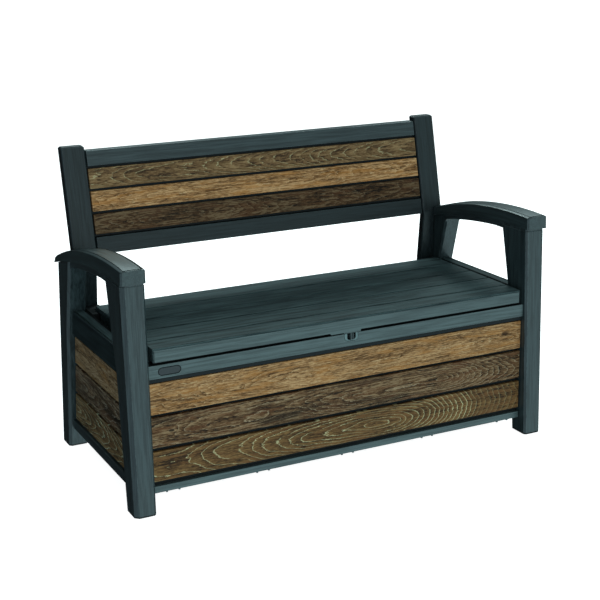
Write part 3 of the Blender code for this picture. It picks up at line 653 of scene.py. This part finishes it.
# Places across the top, from each side, and along it, from the front.
CAP_SIDE_STEPS = [0.0, 0.0003, 0.0010, 0.0020, 0.0048, 0.0074, 0.0075, 0.0079, 0.0085, 0.0090,
                  0.0095, 0.0101, 0.0105]
CAP_FRONT_STEPS = [0.0, 0.0003, 0.0007, 0.0012, 0.0018, 0.0021, 0.0027, 0.0038, 0.0048, 0.0058,
                   0.0069, 0.0075, 0.0078, 0.0082, 0.0100]


def arch(parameters, y):
    apex_y, apex_z, radius = parameters
    return apex_z - (radius - math.sqrt(radius ** 2 - (y - apex_y) ** 2))


def cap_top(y):
    """Top of the arm cap along its middle."""
    z = arch(CAP_TOP, y)
    start, length, drop = CAP_DROOP
    if y > start:
        z -= drop * ((y - start) / length) ** 1.5
    length, drop = CAP_TURN
    start = CAP_Y[1] - length
    if y > start:
        t = (y - start) / length
        z -= drop * (1 - math.sqrt(max(0.0, 1 - t ** 2)))
    return z


def cap_dip(y):
    """How far the inner edge lies below the outer one towards the rear."""
    start, length, depth = CAP_DIP
    t = min(1.0, max(0.0, (y - start) / length))
    return depth * t * t * (3 - 2 * t)


def groove_depth(distance, groove):
    """Depth of a groove in the cap's top at a distance from the edge it runs along."""
    middle, half = groove
    away = abs(distance - middle)
    if away >= half:
        return 0.0
    return CAP_GROOVE_DEPTH * (1 - (away / half) ** 3)


def round_over(distance, radius):
    """Drop of a rounded edge at a distance in from its face."""
    if distance >= radius:
        return 0.0
    return radius - math.sqrt(radius ** 2 - (radius - distance) ** 2)


def cap_stations():
    """Places along the cap, closer together at the front edge, the groove and the rear turn."""
    front, turn = CAP_Y[0], CAP_TURN[0]
    places = [front + step for step in CAP_FRONT_STEPS]
    start, end = front + 0.014, CAP_Y[1] - turn
    places += [start + (end - start) * i / 48 for i in range(49)]
    places += [end + turn * math.sin(math.radians(90 * i / 12)) for i in range(1, 13)]
    return places


def cap_section(y):
    """Outline (x, z) of the cap at y, for the right-hand arm."""
    from_front = y - CAP_Y[0]
    chamfer = max(0.0, CAP_CHAMFER - from_front)
    x_in, x_out = CAP_X[0] + chamfer, CAP_X[1] - chamfer
    top, under = cap_top(y), arch(CAP_UNDER, y)
    foot, step = CAP_FOOT
    width = x_out - x_in
    section = [(x_in, under), (x_out + CAP_FLARE, under), (x_out + CAP_FLARE, under + foot),
               (x_out + CAP_FLARE - 0.0005, under + step)]
    spread = [width * share for share in (0.27, 0.38, 0.5, 0.62, 0.73)]
    for x in CAP_SIDE_STEPS + spread + [width - inset for inset in CAP_SIDE_STEPS[::-1]]:
        side = min(x, width - x)
        drop = round_over(side, 0.0020) + CAP_BEVEL[1] * max(0.0, 1 - side / CAP_BEVEL[0])
        drop += groove_depth(side, CAP_GROOVE)
        if side > CAP_GROOVE[0]:
            drop = max(drop, groove_depth(from_front, CAP_CROSS_GROOVE))
        drop += round_over(from_front, 0.0012)
        crown = 0.0006 * (1 - (2 * x / width - 1) ** 2)
        inward = x / width
        section.append((x_out - x, top - drop + crown - cap_dip(y) * inward))
    section.append((x_in, under + step))
    return section


def make_arm_cap(label, side):
    """Arched cap, hollow from below, with a notch in its inner rear corner."""
    cap = skinned([[(side * x, y, z) for x, z in cap_section(y)] for y in cap_stations()])
    start, end = CAP_Y[0] + CAP_SKIN, 0.190
    x_in, x_out = CAP_X[0] + CAP_SKIN, CAP_X[1] - CAP_SKIN
    rings = []
    for i in range(13):
        y = start + (end - start) * i / 12
        ceiling, floor = arch(CAP_TOP, y) - CAP_SKIN, arch(CAP_UNDER, y) - 0.02
        section = [(x_in, floor), (x_out, floor), (x_out, ceiling), (x_in, ceiling)]
        rings.append([(side * x, y, z) for x, z in section])
    notch = block(on_side(side, 0.580, 0.6285), (0.2010, 0.320), (0.50, 0.70))
    cap = combined(cap, [skinned(rings), notch])
    finish_shell(label + "_arm_cap", cap, CAP, grain_arch, smooth=30.0)


def make_gusset(label, side):
    """Small curved web in the corner between the beam and the rear leg."""
    _, beam_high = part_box(label + "_arm_beam")
    y_leg = beam_high.y - 0.0005
    under = arch(CAP_UNDER, y_leg) - 0.0168  # underside of the beam
    reach = 0.009
    outline = [(y_leg + 0.004, under + 0.002), (y_leg - reach, under + 0.002),
               *arc((y_leg - reach, under - reach), reach, 90, 0, 8),
               (y_leg + 0.004, under - reach)]
    bm = soften(prism_x(outline, on_side(side, 0.6015, 0.6585)), 0.0008)
    finish_piece(label + "_arm_gusset", bm, RESIN, grain_z)


# ---------- front fascia
SHADOW_Z = 0.3744  # lower edge of the fascia's face
REVEAL_Y = -0.2955  # face of the set-back strip below that edge
POCKET_X = (-0.013, 0.032)
POCKET_FLOOR = 0.389
POCKET_CORNER = 0.012


def cup_outline(x_range, floor, radius, top):
    """Outline (x, z) of an upright pocket with round lower corners."""
    left, right = x_range
    return [(left, top), *arc((left + radius, floor + radius), radius, 180, 270, 12),
            *arc((right - radius, floor + radius), radius, 270, 360, 12), (right, top)]


def make_fascia():
    """One continuous front skin over the top rail, with the badge recess and the padlock pocket.

    Below its face lies a strip painted dark as shade, and on its top thin strips painted dark as
    the shade under the lid's overhang.
    """
    low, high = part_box("front_fascia_left")
    x_low, x_high = low.x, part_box("front_fascia_right")[1].x
    y_face, y_back, z_low, z_top = low.y, high.y, low.z, high.z
    outline = [(y_face, SHADOW_Z), (y_face, z_top), (y_back, z_top), (y_back, z_low),
               (REVEAL_Y, z_low), (REVEAL_Y, SHADOW_Z)]
    skin = prism_x(outline, (x_low, x_high))
    recess = prism_y(stadium(*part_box("badge_plate"), -0.0010), (y_face - CLEAR, y_face + 0.0020))
    pocket = prism_y(cup_outline(POCKET_X, POCKET_FLOOR, POCKET_CORNER, z_top + CLEAR),
                     past(y_face, y_back))
    bm = soften(combined(skin, [recess, pocket]), 0.0008)
    nodes = ["front_fascia_left", "front_fascia_right", "padlock_housing"]
    finish_piece("front_fascia", bm, RAIL, grain_x, replaces=nodes)

    # Dark strip below the face: painted shade under the fascia's edge.
    shade_strip = block((x_low, x_high), (REVEAL_Y - 0.0012, REVEAL_Y - 0.0001),
                  (z_low, SHADOW_Z - 0.0001))
    finish_piece("fascia_reveal_shade", soften(shade_strip, 0.0003), INNER_SHADE, grain_x)

    # Thin dark strips on the fascia's top: painted shade where the lid overhangs it.
    beside_pocket = ((x_low + 0.001, POCKET_X[0] - 0.004), (POCKET_X[1] + 0.004, x_high - 0.001))
    gap_shades = [block(x_range, (y_face + 0.0018, y_back - 0.0002), (z_top - 0.0003, z_top + 0.0004))
             for x_range in beside_pocket]
    bm = soften(joined(gap_shades), 0.0002)
    finish_piece("lid_gap_shade", bm, INNER_SHADE, grain_x)


def make_pocket_cup():
    """Pale rim inside the padlock pocket."""
    low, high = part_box("front_fascia_left")
    y_face, z_top = low.y, high.z
    outside = cup_outline((POCKET_X[0] + 0.0011, POCKET_X[1] - 0.0006), POCKET_FLOOR + 0.0009,
                          POCKET_CORNER - 0.001, z_top - 0.0004)
    inside = cup_outline((-0.0040, 0.0235), POCKET_FLOOR + 0.0030, 0.008, z_top + CLEAR)
    cup = prism_y(outside, (y_face + 0.0003, y_face + 0.0060))
    hole = prism_y(inside, (y_face - CLEAR, y_face + 0.02))
    bm = soften(combined(cup, [hole]), 0.0008)
    finish_piece("padlock_pocket_cup", bm, POCKET, grain_z)


def make_badge():
    """Blank oval plate above the floor of its recess, which is painted dark as shade."""
    y_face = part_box("front_fascia_left")[0].y
    low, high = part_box("badge_plate")
    # Dark floor of the recess: painted shade.
    under = prism_y(stadium(low, high, -0.0008), (y_face + 0.0017, y_face + 0.0019))
    finish_piece("badge_recess_floor", under, INNER_SHADE, grain_x)
    plate = soften(prism_y(stadium(low, high, 0.0015), (low.y, high.y)), 0.0005)
    finish_shell("badge_plate", plate, PLATE, grain_x)


# ---------- seat lid
LID_GROOVES_Y = (-0.2297, -0.134, -0.035, 0.064)
LID_BAND = 0.0026  # thickness of the lid's front band
LID_BAND_GAP = 0.0002  # between the band and the lid behind it
LID_SKIRT_Z = 0.4203  # lower edge of the skirt
LID_DECK_Z = 0.4457  # underside of the slats
LID_SKIN = 0.005
LID_LIP_X = (-0.057, 0.038)  # ends of the deeper lip at the padlock pocket
LID_STEP = (-0.0155, 0.4160)  # x and z of the step in that lip
LID_RIB_LOW = 0.4315
LID_SHARP = 50.0  # least angle of the lid's edges that are rounded


def lid_outline(low, high):
    """Section (y, z) of the lid behind its front band: five slats, rounded grooves, rear edge."""
    y_front, y_rear, top = low.y + LID_BAND + LID_BAND_GAP, high.y, high.z
    rear_z, wall_y, nose, tail = 0.443, 0.125, 0.0022, 0.004
    half, depth, lip = 0.0029, 0.0056, 0.0018
    points = [(y_front, LID_SKIRT_Z), (y_front, top - nose)]
    points += arc((y_front + nose, top - nose), nose, 180, 90, 4)[1:]
    for y in LID_GROOVES_Y:
        points += arc((y - half - lip, top - lip), lip, 90, 0, 4)
        points += arc((y, top - depth + 0.0006), half, 200, 340, 4)
        points += arc((y + half + lip, top - lip), lip, 180, 90, 4)
    points += arc((y_rear - tail, top - tail), tail, 90, 0, 5)
    return points + [(y_rear, rear_z), (wall_y, rear_z), (wall_y, LID_SKIRT_Z)]


def lip_outline(lip_z):
    """Outline (x, z) of the lip that hangs from the skirt in front of the pocket."""
    start, end = LID_LIP_X
    step_x, step_z = LID_STEP
    radius, root_z = LID_SKIRT_Z - step_z, LID_SKIRT_Z + 0.004
    return [(start - radius, root_z), *arc((start - radius, step_z), radius, 90, 0, 8),
            (step_x - 0.001, step_z), (step_x, lip_z), (end, lip_z), (end, root_z)]


def corner_wedges(low, high):
    """Upright prisms that cut the lid's two front corners back."""
    cut, proud = 0.0055, 0.001
    wedges = []
    for x, inward in ((low.x, 1), (high.x, -1)):
        plan = [(x - inward * proud, low.y - proud), (x + inward * cut, low.y - proud),
                (x - inward * proud, low.y + cut)]
        wedges.append(prism_z(plan, past(low.z, high.z)))
    return wedges


def make_lid():
    """The lid in two pieces, the slats with their skirt and the front band."""
    low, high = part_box("lid")
    lip = lip_outline(low.z)
    well = block((low.x + LID_SKIN, high.x - LID_SKIN), (low.y + LID_SKIN, 0.120),
                 (LID_SKIRT_Z - CLEAR, LID_DECK_Z))
    shell = prism_x(lid_outline(low, high), (low.x, high.x))
    shell = combined(shell, [well, *corner_wedges(low, high)])
    behind_band = (low.y + LID_BAND + LID_BAND_GAP, low.y + LID_SKIN)
    shell = combined(shell, [prism_y(lip, behind_band)], "UNION")
    tidy(shell)
    soften(shell, 0.0009, least=LID_SHARP)
    finish_shell("lid", shell, LID, grain_x, smooth=30.0)

    y_front, y_back = low.y, low.y + LID_BAND
    edge_z, nose = high.z - 0.0050, 0.0012
    outline = [(y_front, LID_SKIRT_Z), *arc((y_front + nose, edge_z - nose), nose, 180, 90, 3),
               (y_back, edge_z), (y_back, LID_SKIRT_Z)]
    band = combined(prism_x(outline, (low.x, high.x)), corner_wedges(low, high))
    band = combined(band, [prism_y(lip, (y_front, y_back))], "UNION")
    tidy(band)
    soften(band, 0.0006, least=LID_SHARP)
    finish_piece("lid_front_band", band, RAIL, grain_x, "lid", smooth=30.0)


def make_lid_ribs():
    """Grid of ribs under the slats."""
    top, half = LID_DECK_Z + 0.0005, 0.0012
    ribs = [block(around(i * 0.1030, half), (-0.255, 0.112), (LID_RIB_LOW, top))
            for i in range(-5, 6)]
    ribs += [block((-0.5755, 0.5755), around(y, half), (LID_RIB_LOW + 0.001, top))
             for y in (-0.182, -0.0845, 0.0145)]
    bm = soften(joined(ribs), 0.0004)
    finish_piece("lid_ribs", bm, INNER_SHADE, grain_x, "lid")


# ---------- rear and inside
def make_rear_panel():
    """Sloping rear wall with three shallow grooves that divide it like the front boards."""
    low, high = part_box("rear_panel")
    thickness, groove = 0.010, 0.0022
    slope = (high.y - low.y - thickness) / (high.z - low.z)
    cutters = []
    for z in (0.1715, 0.2672, 0.3600):
        y = low.y + (high.z - z) * slope + thickness
        outline = [(y - groove, z), (y + 0.006, z + 0.0050), (y + 0.006, z - 0.0050)]
        cutters.append(prism_x(outline, (-0.62, 0.62)))
    bm = combined(cad_mesh("rear_panel"), cutters)
    tidy(bm)
    finish_shell("rear_panel", soften(bm, 0.0008), RESIN, grain_x)


def leaning(x_range, z_range, insets):
    """Slab that leans with the backrest, between two depths behind the backrest's front."""
    (z0, z1), (near, far) = z_range, insets
    front_y, front_z = 0.2021, 0.6003  # a point on that front
    outline = [(front_y + (z - front_z) * math.tan(LEAN) + inset, z)
               for z, inset in ((z0, near), (z0, far), (z1, far), (z1, near))]
    return prism_x(outline, x_range)


def make_back_cover():
    """Ribbed cover on the back of the backrest panel."""
    low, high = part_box("back_panel")
    z_low, z_high, half, rib = low.z + 0.0005, high.z - 0.0005, high.x - 0.0005, 0.003
    parts = [leaning((-half, half), (z_low, z_high), (0.0275, 0.0292))]
    for i in range(1, 3):
        z = z_low + (z_high - z_low) * i / 3
        parts.append(leaning((-half, half), around(z, rib), (0.0290, 0.0335)))
    for i in range(-4, 5):
        parts.append(leaning(around(i * 0.1375, rib), (z_low, z_high), (0.0290, 0.0338)))
    bm = soften(joined(parts), 0.0006)
    finish_piece("back_cover", bm, RESIN, grain_x)


def make_corner_block(label, side):
    """Closes the rear corner between the side rail, the back stile and the lid."""
    top, outer_x = 0.4445, 0.6040
    beside = block(on_side(side, 0.5842, outer_x), (0.1310, 0.1855), (0.4225, top))
    behind = block(on_side(side, 0.5565, outer_x), (0.1850, 0.2205), (0.3870, top))
    bm = soften(combined(beside, [behind], "UNION"), 0.0010)
    finish_piece(label + "_corner_block", bm, INNER_SHADE, grain_y)


def make_floor_ribs():
    """Raised stiffening ribs on the chest's floor."""
    low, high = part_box("floor_panel")
    margin, half = 0.03, 0.004
    ribs = [block(around(i * 0.088, half), (low.y + margin, high.y - margin),
                  (high.z - 0.0005, high.z + 0.0025)) for i in range(-6, 7)]
    bm = soften(joined(ribs), 0.0012)
    finish_piece("floor_ribs", bm, INNER_SHADE, grain_y)


# ---------- rails, legs and bolts
def make_side_top_rail(label, side):
    """Side rail with a groove along its outer edge and a channel beside the lid, its floor painted
    black as shade.
    """
    node = label + "_side_top_rail"
    low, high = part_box(node)
    inner_x = min(abs(low.x), abs(high.x))
    channel_x, channel_z = 0.6165, high.z - 0.0034
    above, lengthwise = high.z + CLEAR, past(low.y, high.y)
    groove = block(on_side(side, 0.6408, 0.6428), lengthwise, (high.z - 0.0018, above))
    channel = block(on_side(side, inner_x - 0.001, channel_x), lengthwise, (channel_z, above))
    finish_shell(node, soften(combined(cad_mesh(node), [groove, channel]), 0.0006), TRIM, grain_y)
    # Near-black strip on the channel's floor: painted shade.
    shade_strip = block(on_side(side, inner_x + 0.0006, channel_x - 0.0004),
                  (low.y + 0.004, high.y - 0.004), (channel_z + 0.0001, channel_z + 0.0007))
    soften(shade_strip, 0.0002)
    finish_piece(label + "_rail_channel", shade_strip, SHADOW, grain_y)
    # Paler strip along the rail's top: painted light, so the top looks lit while the sides stay
    # dark.
    top = block(on_side(side, channel_x + 0.0010, 0.6398),
                (low.y + 0.0015, high.y - 0.0015), (high.z - 0.0006, high.z + 0.0004))
    finish_piece(label + "_rail_top", soften(top, 0.0003), LID, grain_y)


def make_leg(node):
    """Leg with a dark band at its foot, painted shade for the shadow line along the floor."""
    low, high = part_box(node)
    foot_shade_z = 0.0040
    plan = (past(low.x, high.x), past(low.y, high.y))
    foot = block(*plan, (-CLEAR, foot_shade_z))
    leg = soften(combined(cad_mesh(node), [foot]), 0.0012, segments=3)
    finish_shell(node, leg, RESIN, grain_z)
    # Dark band at the foot: painted shade for the shadow line on the floor.
    above = block(*plan, (foot_shade_z - 0.0002, high.z + CLEAR))
    foot_shade = soften(combined(cad_mesh(node), [above]), 0.0010)
    finish_piece(node + "_glide", foot_shade, INNER_SHADE, grain_z, BODY_OF[node])


def make_front_bottom_rail():
    """Front rail with its pairs of small moulded studs, cut narrower than the CAD's."""
    node = "front_bottom_rail"
    low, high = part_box(node)
    underside = 0.0486
    cutters = []
    for stud_x in (-0.556, -0.520, -0.287, -0.251, -0.018, 0.018, 0.251, 0.287, 0.520, 0.556):
        for side in (-1, 1):
            flank = sorted((stud_x + side * 0.0024, stud_x + side * 0.0066))
            cutters.append(block(flank, past(low.y, high.y), (low.z - CLEAR, underside)))
    finish_shell(node, soften(combined(cad_mesh(node), cutters), 0.0008), RAIL, grain_x)


def make_bolt(node, side):
    """Stile bolt with a hexagon socket in its head."""
    low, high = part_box(node)
    centre = ((low.y + high.y) / 2, (low.z + high.z) / 2)
    head_x = low.x if side > 0 else high.x
    socket = prism_x(arc(centre, 0.0042, 0, 300, 5), sorted((head_x - 0.002, head_x + 0.0028)))
    bm = soften(combined(cad_mesh(node), [socket]), 0.0003, segments=1, least=40.0)
    finish_shell(node, bm, STEEL, grain_x, smooth=40.0)


def make_carried_nodes():
    """Pieces with the shape of their CAD nodes, most of them with only their edges rounded."""
    for label, side in SIDES:
        make_leg(label + "_front_leg")
        make_leg(label + "_rear_leg")
        rounded(label + "_arm_beam", RESIN, grain_arch, 0.0012)
        make_side_top_rail(label, side)
        rounded(label + "_side_bottom_rail", RESIN, grain_y)
        rounded(label + "_side_liner", INNER_SHADE, grain_y, 0.0006)
        rounded(label + "_lid_rest", INNER_SHADE, grain_y, 0.0008)
        rounded(label + "_hinge_bracket", INNER_SHADE, grain_z, 0.0006)
        rounded(label + "_hinge_lug", INNER_SHADE, grain_z, 0.0006)
        rounded(label + "_hinge_pin", STEEL, grain_x, 0.0004)
        rounded(label + "_back_stile", BACK_SHADE, grain_lean)
        for level in LEVELS:
            node = label + "_side_board_" + level
            rounded(node, SIDE_WOODS[label][level], board_grain(node, 1), 0.0016,
                    3)
        for end in ("lower", "upper"):
            make_bolt(label + "_stile_bolt_" + end, side)
    for level in LEVELS:
        node = "front_board_" + level
        rounded(node, FRONT_WOODS[level], board_grain(node, 0), 0.0016, 3)
        node = "back_board_" + level
        rounded(node, BACK_WOODS[level], board_grain(node, 0, LEAN), 0.0014, 3)
    rounded("back_top_rail", RESIN, grain_x)
    rounded("back_bottom_rail", BACK_SHADE, grain_x)
    rounded("back_panel", INNER_SHADE, grain_x, 0.0006)
    make_front_bottom_rail()
    rounded("front_top_rail", INNER_SHADE, grain_x, 0.0008)
    rounded("front_liner", INNER_SHADE, grain_x, 0.0006)
    rounded("rear_top_rail", INNER_SHADE, grain_x)
    rounded("floor_panel", INNER_SHADE, grain_x, 0.0006)
    rounded("box_hasp", RESIN, grain_z, 0.0005)
    rounded("lid_hasp", RESIN, grain_z, 0.0005)


# ---------- studio
BENCH_MIDDLE = (0.0, 0.0, 0.45)
# Glows of the world: direction, cosine where each starts and where it is full, colour.
WORLD_GLOWS = (
    ((0.227, 0.446, 0.866), 0.58, 0.95, (0.44, 0.62, 0.65)),  # behind, strongest overhead
    ((0.43, -0.74, -0.52), 0.45, 0.95, (0.86, 1.20, 1.25)),  # pale floor in front
    ((0.20, -0.42, 0.88), 0.35, 0.95, (0.28, 0.36, 0.36)),  # above the front
    ((-0.84, -0.45, -0.30), 0.78, 0.97, (0.55, 0.74, 0.82)),  # pale floor on the left
    ((0.30, 0.35, -0.89), 0.84, 0.98, (0.80, 1.00, 1.00)),  # pale floor underneath
    ((0.0, 0.7, -0.7), -1.3, 1.0, (0.02, 0.02, 0.02)),  # a little from everywhere
)
# Lights: name, direction, distance, size, power, colour.
LIGHTS = (
    ("front_fill", (-0.30, -0.92, 0.15), 5.0, 2.5, 70.0, (0.88, 0.97, 1.0)),
    ("rear_left", (0.12, 0.70, 0.70), 5.0, 1.3, 75.0, (0.78, 1.0, 1.0)),
    ("rear_right", (0.55, 0.56, 0.62), 5.3, 1.3, 45.0, (0.78, 1.0, 1.0)),
)
CAMERA_PLACE = (-1.6930, -3.3994, 1.5201)
CAMERA_ANGLES = (-26.4355, 15.954, -0.8663)  # azimuth, elevation and roll in degrees


def make_floor():
    """Wide floor just under the feet, which the camera sees but no surface reflects."""
    bm = bmesh.new()
    bmesh.ops.create_circle(bm, cap_ends=True, radius=60.0, segments=64)
    mesh = bpy.data.meshes.new("studio_floor")
    bm.to_mesh(mesh)
    bm.free()
    mesh.materials.append(make_floor_material())
    floor = bpy.data.objects.new("studio_floor", mesh)
    COLLECTION.objects.link(floor)
    floor.location.z = -0.0005
    floor.visible_diffuse = False
    floor.visible_glossy = False
    floor.visible_shadow = False


def make_light(name, direction, distance, size, power, colour):
    """Soft square light that looks at the middle of the bench."""
    data = bpy.data.lights.new(name, "AREA")
    data.shape = "SQUARE"
    data.size = size
    data.energy = power
    data.color = colour
    lamp = bpy.data.objects.new(name, data)
    COLLECTION.objects.link(lamp)
    towards = Vector(direction).normalized()
    lamp.location = Vector(BENCH_MIDDLE) + towards * distance
    lamp.rotation_mode = "QUATERNION"
    lamp.rotation_quaternion = towards.to_track_quat("Z", "Y")
    lamp.visible_camera = False


def make_world():
    """White where the camera sees it; as a light, the sum of the glows."""
    world = bpy.data.worlds.new("studio")
    bpy.context.scene.world = world
    world.use_nodes = True
    tree = world.node_tree
    tree.nodes.clear()

    def node(kind, **settings):
        made = tree.nodes.new(kind)
        for key, value in settings.items():
            setattr(made, key, value)
        return made

    place = node("ShaderNodeTexCoord")
    total = None
    for direction, start, end, colour in WORLD_GLOWS:
        dot = node("ShaderNodeVectorMath", operation="DOT_PRODUCT")
        dot.inputs[1].default_value = Vector(direction).normalized()
        tree.links.new(place.outputs["Generated"], dot.inputs[0])
        ramp = node("ShaderNodeMapRange", interpolation_type="SMOOTHSTEP")
        ramp.inputs["From Min"].default_value = start
        ramp.inputs["From Max"].default_value = end
        tree.links.new(dot.outputs["Value"], ramp.inputs["Value"])
        add = node("ShaderNodeVectorMath", operation="MULTIPLY_ADD")
        tree.links.new(ramp.outputs["Result"], add.inputs[0])
        add.inputs[1].default_value = colour
        if total:
            tree.links.new(total, add.inputs[2])
        total = add.outputs["Vector"]
    lit = node("ShaderNodeBackground")
    tree.links.new(total, lit.inputs["Color"])
    seen = node("ShaderNodeBackground")
    seen.inputs["Color"].default_value = (1.0, 1.0, 1.0, 1.0)
    path = node("ShaderNodeLightPath")
    choose = node("ShaderNodeMixShader")
    tree.links.new(path.outputs["Is Camera Ray"], choose.inputs["Fac"])
    tree.links.new(lit.outputs["Background"], choose.inputs[1])
    tree.links.new(seen.outputs["Background"], choose.inputs[2])
    output = node("ShaderNodeOutputWorld")
    tree.links.new(choose.outputs["Shader"], output.inputs["Surface"])


def make_camera():
    """Front-left view from a little above, through a long lens."""
    azimuth, elevation, roll = (math.radians(angle) for angle in CAMERA_ANGLES)
    forward = Vector((-math.sin(azimuth) * math.cos(elevation),
                      math.cos(azimuth) * math.cos(elevation), -math.sin(elevation)))
    right = Vector((math.cos(azimuth), math.sin(azimuth), 0.0))
    up = right.cross(forward)
    across = right * math.cos(roll) + up * math.sin(roll)
    above = up * math.cos(roll) - right * math.sin(roll)
    data = bpy.data.cameras.new("photo_view")
    data.lens = 79.08
    data.sensor_width = 36.0
    data.shift_x = 0.0012
    data.clip_end = 200.0
    camera = bpy.data.objects.new("photo_view", data)
    COLLECTION.objects.link(camera)
    turn = Matrix((across, above, -forward)).transposed().to_4x4()
    camera.matrix_world = Matrix.Translation(CAMERA_PLACE) @ turn
    bpy.context.scene.camera = camera


# ---------- assembly
make_carried_nodes()
for label, side in SIDES:
    make_arm_cap(label, side)
    make_gusset(label, side)
    make_corner_block(label, side)
make_fascia()
make_pocket_cup()
make_badge()
make_lid()
make_lid_ribs()
make_rear_panel()
make_back_cover()
make_floor_ribs()

make_floor()
make_world()
for light in LIGHTS:
    make_light(*light)
make_camera()
bpy.context.scene.view_settings.view_transform = "Standard"

bpy.context.view_layer.update()
